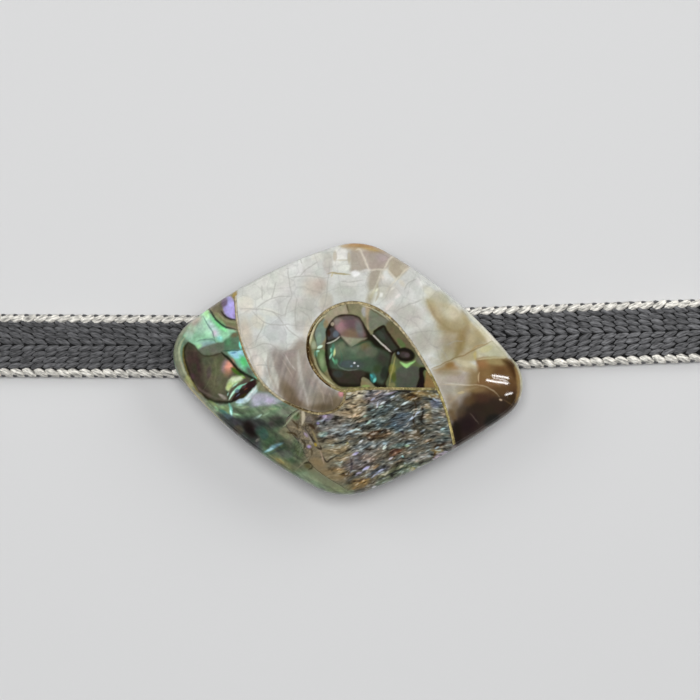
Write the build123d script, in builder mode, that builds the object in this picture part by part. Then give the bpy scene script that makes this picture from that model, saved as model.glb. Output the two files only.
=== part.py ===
from build123d import *
from math import hypot
import os

# A domed lozenge sash clasp, inlaid with shell, threaded on a flat braided band
# Millimetres, with +X along the band, +Y to the upper edge and +Z out of the face

# Plate outline, anticlockwise: each corner before rounding, its radius and the bulge of the side after it
plate_corners = [
    # x, y, radius, bulge
    (27.45, -3.40, 5.4, 2.24),
    (2.00, 18.80, 8.7, 2.18),
    (-27.50, 2.80, 5.8, 2.34),
    (-0.85, -19.00, 9.4, 1.35),
]

# Plate height, dome and edge
plate_thickness = 4.55
dome_radius = 120.0
rim_round = 1.1
back_round = 0.4
rim_width = 0.6

# Shell panels and the gold line between them
shell_thickness = 0.8
seam_width = 0.36
fit_gap = 0.03

# White shell's outer edge: from the upper rim down, round its tail and up to the drop
crescent_edge = [
    (-16.3, 13.0),
    (-16.0, 7.0),
    (-14.9, 2.4),
    (-11.3, -3.1),
    (-6.9, -5.7),
    (-3.6, -6.4),
    (-1.4, -5.6),
    (-0.5, -3.05),
]

# Drop in the middle: its flat foot, then its back over the top to the point and on to the lower rim
drop_foot = [
    (13.0, -2.85),
    (9.0, -2.85),
    (4.6, -2.8),
    (-1.0, -3.15),
]
drop_back = [
    (1.0, -3.05),
    (-0.8, -3.1),
    (-3.6, -1.6),
    (-5.6, 1.5),
    (-5.7, 4.6),
    (-3.8, 7.8),
    (0.3, 9.6),
    (4.7, 8.4),
    (8.3, 4.9),
    (11.5, 0.0),
    (12.95, -2.85),
    (14.5, -7.2),
    (15.75, -13.5),
]

# Butt joint between the left and the striped panel, from the crescent to the lower rim
butt_joint = [
    (-6.9, -5.7),
    (-8.9, -8.2),
    (-7.1, -10.6),
    (-5.8, -13.2),
    (-3.4, -15.4),
    (1.6, -18.6),
]

# Back fitting: a bent sheet loop under a glued foot
sheet = 0.8
slot_height = 2.4
slot_width = 14.4
fitting_length = 12.0
fitting_offset = 1.7
bend_radius = 1.4
foot_length = 25.0
foot_width = 13.0
foot_round = 4.0
glue_gap = 0.05

# Band: a flat braid that lies on the surface and rises into the fitting
band_width = 9.05
band_thickness = 1.9
band_edge_round = 0.85
band_low = band_thickness / 2
band_high = sheet + slot_height / 2
band_course = [
    # x, y, height of its middle
    (-55.0, 3.51, band_low),
    (-20.5, 3.31, band_low),
    (-18.0, 3.29, band_low + 0.12),
    (-13.5, 3.27, band_high - 0.12),
    (-11.0, 3.25, band_high),
    (-4.0, 3.36, band_high),
    (4.0, 3.82, band_high),
    (11.0, 4.21, band_high),
    (13.5, 4.30, band_high - 0.12),
    (18.0, 4.46, band_low + 0.12),
    (20.5, 4.55, band_low),
    (55.0, 5.80, band_low),
]

fitting_height = 2 * sheet + slot_height
plate_back = fitting_height + glue_gap
plate_top = plate_back + plate_thickness
dome_centre = (0, 0, plate_top - dome_radius)
back_plane = Plane.XY.offset(plate_back)

os.makedirs("parts", exist_ok=True)


def side_disc(number):
    # Centre and radius of the disc whose rim is the side after this corner
    x, y, radius, bulge = plate_corners[number]
    next_x, next_y = plate_corners[(number + 1) % len(plate_corners)][:2]
    chord = hypot(next_x - x, next_y - y)
    disc_radius = (chord**2 / 4 + bulge**2) / (2 * bulge)
    reach = disc_radius - bulge
    centre_x = (x + next_x) / 2 - reach * (next_y - y) / chord
    centre_y = (y + next_y) / 2 + reach * (next_x - x) / chord
    return centre_x, centre_y, disc_radius


def lozenge_shape(inset):
    # The plate's plan, drawn in by an inset: what four large discs share, with its corners rounded
    with BuildSketch(back_plane) as shape:
        for number in range(len(plate_corners)):
            centre_x, centre_y, disc_radius = side_disc(number)
            with Locations((centre_x, centre_y)):
                Circle(disc_radius - inset, mode=Mode.INTERSECT if number else Mode.ADD)
        for x, y, radius, bulge in plate_corners:
            fillet(shape.vertices().sort_by_distance((x, y, 0))[0], radius - inset)
    return shape.sketch_local


# Plate body before the recess
with BuildPart() as lens:
    with BuildSketch(back_plane):
        add(lozenge_shape(0))
    extrude(amount=plate_thickness)
    with Locations(dome_centre):
        Sphere(dome_radius, mode=Mode.INTERSECT)
    fillet(lens.faces().sort_by(Axis.Z)[-1].edges(), rim_round)
    fillet(lens.faces().sort_by(Axis.Z)[0].edges(), back_round)

# Base plate
with BuildPart() as recess_cut:
    with BuildSketch(back_plane):
        add(lozenge_shape(rim_width))
    extrude(amount=plate_thickness)
    with Locations(dome_centre):
        Sphere(dome_radius - shell_thickness - fit_gap, mode=Mode.SUBTRACT)

with BuildPart() as base_plate:
    add(lens.part)
    add(recess_cut.part, mode=Mode.SUBTRACT)

base_plate.part.label = "base_plate"
export_step(base_plate.part, "parts/base_plate.step")

# Lines that part the panels
with BuildLine() as crescent_line:
    Spline(*crescent_edge)

with BuildLine() as foot_line:
    Spline(*drop_foot)

with BuildLine() as back_line:
    Spline(*drop_back)

with BuildLine() as joint_line:
    Spline(*butt_joint)


def seam_shape(width):
    # The gold line's plan at a given width: each curve with round ends
    with BuildSketch(back_plane) as shape:
        for curve in (crescent_line, foot_line, back_line):
            trace(curve.line, width)
            with Locations(curve.line @ 0, curve.line @ 1):
                Circle(width / 2)
    return shape.sketch_local


# Shell layer: all that lies in the recess, before the lines part it
with BuildPart() as shell_layer:
    add(lens.part)
    with BuildSketch(back_plane):
        add(lozenge_shape(rim_width + fit_gap))
    extrude(amount=plate_thickness, mode=Mode.INTERSECT)
    with Locations(dome_centre):
        Sphere(dome_radius - shell_thickness, mode=Mode.SUBTRACT)

# Gold line
with BuildPart() as gold_seam:
    add(shell_layer.part)
    with BuildSketch(back_plane):
        add(seam_shape(seam_width))
    extrude(amount=plate_thickness, mode=Mode.INTERSECT)

gold_seam.part.label = "gold_seam"
export_step(gold_seam.part, "parts/gold_seam.step")

# Shell panels: what the lines leave of the recess, each found by a point inside it
with BuildSketch(back_plane) as fields:
    add(lozenge_shape(rim_width))
    add(seam_shape(seam_width + 2 * fit_gap), mode=Mode.SUBTRACT)
    trace(joint_line.line, 2 * fit_gap, mode=Mode.SUBTRACT)

panel_places = {
    "left_abalone": (-20.0, 2.0),
    "white_shell": (-3.0, 13.0),
    "eye_abalone": (2.0, 3.0),
    "striped_abalone": (5.0, -9.0),
}

for panel_name, (x, y) in panel_places.items():
    field = [face for face in fields.faces() if face.is_inside((x, y, 0))][0]
    with BuildPart() as panel:
        add(shell_layer.part)
        with BuildSketch(back_plane):
            add(field)
        extrude(amount=plate_thickness, mode=Mode.INTERSECT)
    panel.part.label = panel_name
    export_step(panel.part, f"parts/{panel_name}.step")

# Back fitting
with BuildPart() as back_fitting:
    with BuildSketch(Plane.YZ.offset(-fitting_length / 2)):
        with Locations((fitting_offset, fitting_height / 2)):
            RectangleRounded(slot_width + 2 * sheet, fitting_height, bend_radius)
            RectangleRounded(slot_width, slot_height, bend_radius - sheet, mode=Mode.SUBTRACT)
    extrude(amount=fitting_length)
    with BuildSketch(Plane.XY.offset(fitting_height - sheet)):
        with Locations((0, fitting_offset)):
            RectangleRounded(foot_length, foot_width, foot_round)
    extrude(amount=sheet)

back_fitting.part.label = "back_fitting"
export_step(back_fitting.part, "parts/back_fitting.step")

# Braided band, one solid through sections across it
with BuildPart() as braided_band:
    for x, y, height in band_course:
        with BuildSketch(Plane(origin=(x, y, height), x_dir=(0, 1, 0), z_dir=(1, 0, 0))):
            RectangleRounded(band_width, band_thickness, band_edge_round)
    loft(ruled=True)

braided_band.part.label = "braided_band"
export_step(braided_band.part, "parts/braided_band.step")
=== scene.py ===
# Looks for the shell-inlaid obidome on its braided band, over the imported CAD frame
# Metres in the row frame: +X along the band, +Y to the plate's upper edge, +Z out of the face
import math

import bpy
import numpy as np
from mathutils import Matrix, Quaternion, Vector


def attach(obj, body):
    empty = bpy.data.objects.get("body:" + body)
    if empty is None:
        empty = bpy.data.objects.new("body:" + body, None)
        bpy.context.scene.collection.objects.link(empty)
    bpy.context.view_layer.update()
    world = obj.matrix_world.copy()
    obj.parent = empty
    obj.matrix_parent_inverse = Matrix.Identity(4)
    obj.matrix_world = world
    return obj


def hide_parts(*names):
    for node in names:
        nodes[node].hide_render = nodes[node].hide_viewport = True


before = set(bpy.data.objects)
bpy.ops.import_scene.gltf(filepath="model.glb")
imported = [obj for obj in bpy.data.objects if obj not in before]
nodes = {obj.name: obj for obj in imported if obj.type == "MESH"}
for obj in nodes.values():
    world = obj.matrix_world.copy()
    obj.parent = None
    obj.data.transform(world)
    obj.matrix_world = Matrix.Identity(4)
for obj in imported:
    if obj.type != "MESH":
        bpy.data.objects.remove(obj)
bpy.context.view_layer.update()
print("frame loaded:", len(nodes), "nodes")

# Colours are sRGB, 0 to 255. The plate's panels are painted point by point, in the photo's pixel
# coordinates, with areas, strokes and spots that were measured one by one

photoScale = 0.1445e-3  # metres to one pixel of the photo
photoCentre = (348.0, 369.0)  # the pixel over the plate's centre


def latticeValue(ix, iy, seed):
    # A repeatable number from 0 to 1 for each lattice point
    mixed = (ix * 374761393 + iy * 668265263 + seed * 1442695041) & 0xFFFFFFFF
    mixed = ((mixed ^ (mixed >> 13)) * 1274126177) & 0xFFFFFFFF
    return ((mixed ^ (mixed >> 16)) & 0xFFFF) / 65535.0


def cloud(x, y, size, seed, octaves=2):
    # Smooth noise from -1 to 1 with patches about one size across
    total = np.zeros_like(x)
    weight = 1.0
    for octave in range(octaves):
        u = x / size
        v = y / size
        iu = np.floor(u).astype(np.int64)
        iv = np.floor(v).astype(np.int64)
        fu = u - iu
        fv = v - iv
        fu = fu * fu * (3 - 2 * fu)
        fv = fv * fv * (3 - 2 * fv)
        key = seed + 17 * octave
        low = latticeValue(iu, iv, key) * (1 - fu) + latticeValue(iu + 1, iv, key) * fu
        high = latticeValue(iu, iv + 1, key) * (1 - fu) + latticeValue(iu + 1, iv + 1, key) * fu
        total += weight * ((low * (1 - fv) + high * fv) * 2 - 1)
        weight *= 0.5
        size *= 0.5
    return total / (2 - 2 * weight)


def smoothCurve(points, closed=False, steps=6):
    # A curve through the measured points
    p = np.array(points, float)
    if len(p) < 3:
        return p
    if closed:
        p = np.vstack([p[-1], p, p[0], p[1]])
    else:
        p = np.vstack([2 * p[0] - p[1], p, 2 * p[-1] - p[-2]])
    t = (np.arange(steps) / steps)[:, None]
    runs = []
    for a, b, c, d in zip(p[:-3], p[1:-2], p[2:-1], p[3:]):
        square = (2 * a - 5 * b + 4 * c - d) * t**2
        cube = (3 * b - a - 3 * c + d) * t**3
        runs.append(0.5 * (2 * b + (c - a) * t + square + cube))
    if not closed:
        runs.append(p[-2:-1])
    return np.vstack(runs)


def lineDistance(x, y, line):
    # Distance to an open line, and how far along it the nearest place is, from 0 to 1
    best = np.full(x.shape, 1e9)
    along = np.zeros(x.shape)
    steps = np.hypot(*(line[1:] - line[:-1]).T)
    reach = np.concatenate([[0], np.cumsum(steps)]) / max(steps.sum(), 1e-9)
    for number, (a, b) in enumerate(zip(line[:-1], line[1:])):
        d = b - a
        t = np.clip(((x - a[0]) * d[0] + (y - a[1]) * d[1]) / max(d @ d, 1e-9), 0, 1)
        gap = (x - a[0] - t * d[0]) ** 2 + (y - a[1] - t * d[1]) ** 2
        nearer = gap < best
        best = np.where(nearer, gap, best)
        along = np.where(nearer, reach[number] + t * (reach[number + 1] - reach[number]), along)
    return np.sqrt(best), along


def outlineDistance(x, y, outline):
    # Distance to a closed outline, below zero inside it
    ring = np.vstack([outline, outline[:1]])
    distance, _ = lineDistance(x, y, ring)
    inside = np.zeros(x.shape, bool)
    for a, b in zip(ring[:-1], ring[1:]):
        if a[1] != b[1]:
            crossing = ((a[1] > y) != (b[1] > y)) & (x < (b[0] - a[0]) * (y - a[1]) / (b[1] - a[1]) + a[0])
            inside ^= crossing
    return np.where(inside, -distance, distance)


def newCanvas(x, y, ground, wobble=0.5):
    # Points to paint, in photo pixels, with hand-drawn edges from a little wobble
    return {
        "x": x + wobble * cloud(x, y, 5.0, 11) + 0.5 * wobble * cloud(x, y, 2.0, 12),
        "y": y + wobble * cloud(x, y, 5.0, 13) + 0.5 * wobble * cloud(x, y, 2.0, 14),
        "colour": np.tile(np.array(ground, float), (len(x), 1)),
    }


def near(canvas, points, margin):
    low = points.min(0) - margin
    high = points.max(0) + margin
    x, y = canvas["x"], canvas["y"]
    return np.nonzero((x > low[0]) & (x < high[0]) & (y > low[1]) & (y < high[1]))[0]


def blendIn(canvas, chosen, colour, cover):
    cover = np.clip(cover, 0, 1)[:, None]
    canvas["colour"][chosen] += (np.array(colour, float) - canvas["colour"][chosen]) * cover


def softStep(value):
    value = np.clip(value, 0, 1)
    return value * value * (3 - 2 * value)


def area(canvas, points, colour, soft=1.5, strength=1.0):
    outline = smoothCurve(points, closed=True)
    chosen = near(canvas, outline, soft)
    gap = outlineDistance(canvas["x"][chosen], canvas["y"][chosen], outline)
    blendIn(canvas, chosen, colour, strength * softStep(0.5 - gap / (2 * soft)))


def stroke(canvas, points, colour, width=1.5, strength=1.0, taper=0.3, soft=0.8):
    line = smoothCurve(points)
    chosen = near(canvas, line, width + soft)
    gap, along = lineDistance(canvas["x"][chosen], canvas["y"][chosen], line)
    ends = np.clip(np.minimum(along, 1 - along) / max(taper, 1e-6), 0, 1) ** 0.7 if taper else 1.0
    blendIn(canvas, chosen, colour, strength * softStep(0.5 + (width * ends / 2 - gap) / (2 * soft)))


def spot(canvas, at, size, colour, strength=1.0, angle=0.0, soft=0.6):
    # An oval dab: size is its two half widths, angle its turn, soft the share of it that fades
    reach = np.array([at, at], float)
    chosen = near(canvas, reach, max(size) * 1.3)
    dx = canvas["x"][chosen] - at[0]
    dy = canvas["y"][chosen] - at[1]
    turn = np.radians(angle)
    u = (dx * np.cos(turn) + dy * np.sin(turn)) / size[0]
    v = (-dx * np.sin(turn) + dy * np.cos(turn)) / size[1]
    blendIn(canvas, chosen, colour, strength * softStep((1 - np.hypot(u, v)) / soft + 0.25))


def facets(x, y, size, seed):
    # Broken pieces: a repeatable number for the piece at each point, and the distance to its border
    x = x + 0.25 * size * cloud(x, y, size, seed + 5)
    y = y + 0.25 * size * cloud(x, y, size, seed + 6)
    ix = np.floor(x / size).astype(np.int64)
    iy = np.floor(y / size).astype(np.int64)
    first = np.full(x.shape, 1e9)
    second = np.full(x.shape, 1e9)
    value = np.zeros(x.shape)
    for sx in (-1, 0, 1):
        for sy in (-1, 0, 1):
            jx, jy = ix + sx, iy + sy
            middleX = (jx + latticeValue(jx, jy, seed)) * size
            middleY = (jy + latticeValue(jx, jy, seed + 1)) * size
            gap = np.hypot(x - middleX, y - middleY)
            value = np.where(gap < first, latticeValue(jx, jy, seed + 2), value)
            second = np.minimum(second, np.maximum(gap, first))
            first = np.minimum(first, gap)
    return value, (second - first) / 2


def addNacre(canvas, seed, depth, size=12.0, tint=3.0):
    # Cloudy changes of tone and a weak drift between green and rose
    x, y = canvas["x"], canvas["y"]
    tone = 0.6 * cloud(x, y, size, seed) + 0.4 * cloud(x, y, 0.3 * size, seed + 1)
    drift = cloud(x, y, 0.7 * size, seed + 2)[:, None] * np.array((1.0, -0.8, 0.5)) * tint
    canvas["colour"] = canvas["colour"] * (1 + depth * tone)[:, None] + drift


panelTones = {"white_shell": 0.985, "striped_abalone": 0.95}  # tone of a whole panel, against its marks


def leftAbalone(x, y):
    c = newCanvas(x, y, (104, 124, 104), 0.5)
    # Upper corner above the black arcs
    area(c, [(204, 304), (238, 286), (240, 300), (238, 330), (226, 328), (214, 318)], (134, 128, 98))
    area(c, [(211, 306), (222, 298), (224, 308), (225, 318), (219, 316)], (112, 106, 84), 2.5)
    area(c, [(222, 300), (229, 296), (234, 301), (237, 310), (237, 318), (231, 319), (225, 314)],
         (170, 158, 214), 1.6)
    spot(c, (230, 308), (4.5, 8), (184, 174, 236), 0.9, -10)
    spot(c, (224, 302), (4, 6), (104, 84, 96), 0.75, 20)
    spot(c, (234.5, 294), (2.6, 5), (164, 138, 74), 0.9, 10)
    stroke(c, [(215, 312), (221, 319), (229, 323), (238, 325)], (126, 128, 92), 4.5, 0.9, 0.1)
    stroke(c, [(218, 313), (224, 319), (231, 322), (237, 323)], (156, 156, 122), 1.4, 0.7)
    stroke(c, [(221, 311), (225, 316), (231, 319), (237, 319.5)], (38, 32, 30), 1.8, 0.92, 0.3, 1.0)
    # Mint ground and its veins
    area(c, [(205, 309), (211, 314), (217, 322), (226, 328), (236, 331), (231, 337), (225, 341), (216, 343),
         (205, 344), (196, 347), (188, 340), (182, 334), (188, 325), (197, 317)], (146, 196, 160))
    area(c, [(184, 332), (190, 324), (199, 315), (203, 319), (199, 328), (191, 335)], (172, 180, 162), 3,
         0.8)
    spot(c, (206, 316), (5, 4), (190, 240, 186), 0.9, 40)
    spot(c, (221, 325), (4, 8), (142, 222, 158), 0.8, -45)
    stroke(c, [(203, 314), (206, 322), (209, 330), (213, 338)], (190, 230, 202), 8, 0.75, 0.3, 4)
    stroke(c, [(211, 314), (216, 321), (222, 327), (227, 331)], (128, 216, 146), 5, 0.8, 0.3, 3)
    stroke(c, [(208, 320), (212, 327), (217, 334), (220, 340)], (196, 212, 216), 6, 0.85, 0.3, 3)
    spot(c, (214.5, 333), (2.6, 4), (214, 196, 208), 0.7, -20, 1.0)
    spot(c, (220, 338.5), (3.6, 3.6), (146, 226, 212), 0.8, 0, 1.0)
    spot(c, (195, 321), (4, 9), (182, 172, 156), 0.85, 52, 1.0)
    spot(c, (189, 336), (5, 6), (166, 200, 178), 0.8, 30, 1.0)
    spot(c, (200, 329), (6, 7), (170, 206, 184), 0.7, 0, 1.0)
    spot(c, (206.5, 313), (3, 4), (176, 236, 156), 0.75, 20, 1.0)
    area(c, [(197, 345), (204, 341), (212, 340), (216, 343), (212, 347), (203, 349)], (152, 184, 184), 2.0,
         0.85)
    spot(c, (199, 346), (4.5, 3), (150, 206, 146), 0.8, -20, 1.0)
    stroke(c, [(200, 349), (208, 347.5), (216, 344.5), (224, 343)], (58, 72, 54), 1.3, 0.8)
    stroke(c, [(203, 316), (208, 325), (213, 333), (215.5, 342)], (92, 118, 112), 1.2, 0.85)
    stroke(c, [(196, 342), (201, 340), (208, 339), (213, 339), (217, 343)], (96, 122, 118), 1.1, 0.8)
    stroke(c, [(207, 307), (212, 313), (217, 320), (225, 326.5), (237, 329.5)], (36, 44, 38), 2.0, 0.92,
         0.3, 1.0)
    stroke(c, [(213, 313), (219, 320), (227, 325)], (138, 140, 104), 1.4, 0.6)
    # Between the mint and the dark drop
    area(c, [(199, 350), (206, 346), (216, 343), (225, 343), (232, 346), (228, 352), (219, 354),
         (206, 356)], (106, 112, 96), 1.6)
    area(c, [(224, 344), (229, 337), (236, 332), (241, 340), (243, 349), (235, 351), (226, 352)],
         (88, 118, 92), 2.2)
    spot(c, (235, 335), (5, 3), (104, 92, 66), 0.8, -20, 1.0)
    spot(c, (228, 342), (4, 5), (84, 150, 100), 0.7, 30, 1.0)
    area(c, [(228, 352), (237, 350), (244, 350), (248, 360), (254, 371), (259, 379), (252, 377), (244, 371),
         (237, 364), (232, 357)], (122, 196, 158), 1.4)
    area(c, [(229, 352), (238, 350), (243, 351), (243, 357), (236, 359), (231, 356)], (148, 200, 214), 1.6)
    spot(c, (233.5, 352.6), (3.2, 1.2), (64, 116, 140), 0.75, -12, 1.0)
    stroke(c, [(238, 352), (242, 360), (247, 368), (252, 374)], (130, 214, 190), 3, 0.7, 0.3, 1.6)
    spot(c, (244, 362), (3.8, 8), (84, 184, 102), 0.85, -22, 1.0)
    spot(c, (251, 373), (2.5, 7), (112, 132, 116), 0.9, -38)
    spot(c, (240.5, 345), (2, 4.5), (118, 228, 206), 0.9, -12)
    stroke(c, [(222, 351), (232, 350.5), (243, 349.5)], (44, 78, 66), 1.2, 0.8)
    # The dark drop shape
    area(c, [(188, 342), (193, 345), (198, 351), (203, 355), (212, 355), (222, 353), (228, 357), (234, 364),
         (241, 371), (249, 377), (259, 380), (252, 384), (244, 391), (236, 398), (229, 402), (216, 401),
         (205, 397), (196, 389), (190, 376), (185, 361), (184, 350)], (82, 80, 64), 1.1)
    area(c, [(187, 344), (194, 349), (200, 356), (201, 370), (205, 385), (213, 398), (204, 396), (195, 387),
         (189, 372), (185, 356)], (60, 50, 42), 4, 0.85)
    area(c, [(206, 356), (220, 356), (228, 362), (226, 378), (222, 392), (212, 392), (206, 378)],
         (98, 98, 72), 4, 0.8)
    spot(c, (208, 361), (7, 5), (78, 80, 66), 0.6)
    stroke(c, [(206, 357), (211, 368), (209, 380), (203, 391)], (112, 108, 84), 1.0, 0.55)
    stroke(c, [(214, 357), (216, 372), (213, 390)], (116, 116, 88), 1.0, 0.45)
    stroke(c, [(194, 383), (201, 390), (211, 396), (219, 399)], (112, 100, 92), 2.2, 0.55, 0.3, 1.4)
    spot(c, (223.5, 397), (4.5, 2.4), (158, 152, 140), 0.8, 28, 1.0)
    spot(c, (225.5, 366), (5, 9), (166, 138, 148), 0.8, 20, 1.0)
    spot(c, (229, 368), (6, 10), (184, 130, 104), 0.75, 18, 1.0)
    spot(c, (229.5, 365), (4.4, 7.5), (240, 168, 142), 0.95, 20, 1.0)
    spot(c, (236, 370), (3.5, 5), (128, 104, 44), 0.8, -40)
    stroke(c, [(231, 368), (235, 371), (240, 374), (245, 376)], (52, 92, 30), 3.6, 0.85, 0.3, 1.6)
    area(c, [(226, 389), (228, 382), (232, 377), (239, 375.5), (244, 376.5), (242, 380), (237, 383.5),
         (231, 387), (229, 391)], (188, 212, 160), 2.0)
    spot(c, (237, 379), (6, 2.4), (222, 238, 206), 0.8, -22, 0.9)
    spot(c, (229, 386), (3, 5), (176, 190, 120), 0.75, 30, 1.0)
    stroke(c, [(247, 383), (240, 387), (235, 391), (230, 398)], (148, 220, 188), 3.0, 0.95, 0.4)
    stroke(c, [(236, 390), (232, 394), (229, 400)], (206, 240, 216), 1.6, 0.9)
    stroke(c, [(226, 390), (229, 395), (228, 399)], (44, 62, 44), 1.6, 0.7)
    area(c, [(259, 380), (251, 381), (244, 386), (238, 391), (233, 398), (232, 402), (239, 400), (246, 396),
         (252, 389), (257, 384)], (44, 30, 26), 1.0)
    spot(c, (237, 391), (3, 2), (92, 104, 122), 0.8, -35)
    spot(c, (244, 387), (3, 2), (78, 62, 60), 0.7, -35)
    spot(c, (243, 396), (5, 2), (58, 62, 16), 0.6, -38)
    stroke(c, [(228, 401.5), (216, 401.5), (205, 397), (196, 389), (190, 376), (185, 361), (184, 350),
         (188, 342)], (34, 30, 16), 2.4, 0.9, 0.08, 1.2)
    stroke(c, [(188, 342), (194, 346), (199, 352), (204, 355.5), (213, 355.5), (222, 353)], (48, 44, 30),
         1.5, 0.65, 0.1, 1.1)
    stroke(c, [(221, 352), (228, 358), (234, 365), (240, 371), (248, 375.5), (256, 379.5)], (24, 24, 14),
         2.4, 0.95, 0.15, 1.1)
    stroke(c, [(212, 401), (222, 403), (230, 402), (236, 399)], (22, 22, 14), 2.4, 0.9, 0.3, 1.1)
    # Rim side band
    stroke(c, [(190, 322), (180, 335), (175, 348), (178, 364), (186, 382), (198, 397), (214, 413)],
         (136, 138, 112), 5, 0.8, 0.1, 1.5)
    stroke(c, [(186, 335), (179, 347), (180, 360), (186, 375), (195, 388), (204, 398)], (176, 178, 146),
         2.6, 0.75, 0.2, 1.0)
    stroke(c, [(184, 345), (183, 356), (187, 372), (194, 386), (203, 397)], (104, 96, 50), 1.8, 0.85, 0.2)
    spot(c, (189, 381), (3, 8), (166, 168, 112), 0.85, -28)
    stroke(c, [(173, 352), (176, 365), (183, 381), (195, 396)], (112, 104, 84), 1.6, 0.7)
    for at, size, tone, turn in (
        ((231, 379), (3, 1.2), (206, 222, 176), -30),
        ((235, 385), (4, 1.0), (188, 236, 206), -40),
        ((244, 377.5), (3, 0.9), (120, 160, 60), 20),
        ((252, 380), (2.5, 0.8), (150, 206, 190), -25),
        ((238, 395), (3.5, 0.9), (92, 104, 128), -42),
        ((246, 389), (3, 0.8), (110, 64, 46), -35),
        ((228, 394), (2.2, 0.9), (172, 214, 196), -60),
        ((221, 395), (3.2, 1.4), (176, 168, 158), 25),
        ((209, 372), (3, 8), (84, 74, 72), 10),
        ((198, 366), (2.5, 7), (66, 48, 48), -10),
        ((219, 380), (3, 7), (96, 100, 78), 5),
        ((192, 376), (3, 4), (78, 56, 62), -20),
    ):
        spot(c, at, size, tone, 0.75, turn, 0.9)
    # Below the drop
    stroke(c, [(260, 382), (256, 389), (250, 396), (244, 401), (236, 403)], (196, 226, 222), 5.5, 0.95,
         0.25, 1.2)
    stroke(c, [(257, 386), (252, 393), (246, 399)], (236, 246, 244), 2.4, 0.9)
    spot(c, (240, 401), (5, 2.5), (176, 206, 220), 0.8, -20)
    area(c, [(257, 380), (264, 384), (272, 390), (266, 392), (258, 390)], (128, 124, 92), 2, 0.8)
    area(c, [(251, 398), (256, 393), (266, 393), (276, 397), (282, 401), (274, 405), (262, 408),
         (252, 409)], (170, 173, 180), 3.0, 0.95)
    spot(c, (270, 400), (7, 3.4), (182, 176, 200), 0.7, 0, 1.0)
    spot(c, (259, 400), (8, 5), (182, 184, 200), 0.7, -10, 1.0)
    area(c, [(206, 402), (222, 404), (236, 405), (248, 408), (262, 407), (276, 405), (290, 407), (300, 410),
         (294, 418), (286, 426), (272, 424), (256, 420), (240, 418), (226, 417), (214, 412)],
         (104, 124, 98), 3.5)
    spot(c, (262, 410), (13, 4), (126, 146, 114), 0.75, -4)
    spot(c, (286, 411), (10, 4), (108, 118, 100), 0.8, -8)
    spot(c, (240, 411), (9, 3.5), (72, 84, 66), 0.85, 5)
    spot(c, (226, 409), (5, 4), (104, 116, 80), 0.7, 20)
    spot(c, (212, 405), (8, 4), (114, 124, 76), 0.7, 35)
    stroke(c, [(228, 405), (236, 409), (250, 411), (266, 409)], (74, 96, 66), 2.2, 0.5)
    spot(c, (216, 408.5), (1.9, 3.8), (158, 226, 170), 0.9, -40, 1.0)
    stroke(c, [(229, 403), (231, 409), (231.5, 418)], (128, 206, 190), 3.0, 0.8, 0.4, 1.3)
    spot(c, (231, 413), (1.3, 3.4), (190, 232, 224), 0.8, -5, 1.0)
    stroke(c, [(252, 419), (257, 417.5), (262, 414)], (190, 226, 210), 2.4, 0.9, 0.4, 1.1)
    for at, size, tone, turn in (
        ((222, 407), (4, 1.6), (146, 176, 124), 25),
        ((226, 413), (3, 1.2), (96, 140, 140), 40),
        ((236, 414), (4, 1.1), (134, 170, 138), 10),
        ((246, 407), (5, 1.4), (150, 170, 132), -8),
        ((252, 412), (5, 1.2), (88, 104, 74), -6),
        ((266, 414), (4, 1.2), (156, 182, 150), -20),
        ((272, 409), (6, 1.3), (138, 148, 116), -6),
        ((280, 405), (5, 1.2), (150, 152, 140), 10),
        ((258, 404), (4, 1.2), (196, 190, 214), -12),
        ((266, 401), (3, 1.0), (188, 184, 206), -20),
        ((275, 403), (3, 1.0), (186, 176, 196), 0),
        ((240, 405), (4, 1.4), (156, 196, 178), 0),
        ((259, 419), (5, 1.0), (112, 134, 116), -12),
        ((268, 428), (5, 1.6), (68, 96, 84), -25),
        ((274, 434), (7, 1.4), (92, 116, 90), -22),
        ((262, 441), (3, 1.0), (128, 134, 118), -30),
        ((282, 440), (6, 1.4), (98, 112, 84), -20),
        ((292, 447), (6, 1.4), (112, 118, 92), -25),
        ((280, 448), (5, 1.2), (96, 120, 118), -25),
        ((273, 455), (6, 1.4), (104, 116, 104), -15),
        ((290, 460), (6, 1.5), (112, 116, 92), 25),
    ):
        spot(c, at, size, tone, 0.7, turn, 1.0)
    spot(c, (222, 412), (4, 3), (70, 120, 112), 0.7, 30)
    # A paler band along the lower-left rim: painted light against the shade on its steep side
    stroke(c, [(194, 391), (206, 403), (218, 413), (230, 424)], (148, 154, 128), 5, 0.6, 0.3, 2)
    spot(c, (249, 371), (7, 5), (80, 90, 74), 0.6, 40, 1.0)
    spot(c, (257, 410), (11, 4), (124, 144, 118), 0.6, 0, 1.0)
    spot(c, (292, 410), (8, 5), (126, 138, 112), 0.7, 0, 1.0)
    spot(c, (211, 408), (6, 5), (152, 168, 142), 0.7, 30, 1.0)
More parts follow.
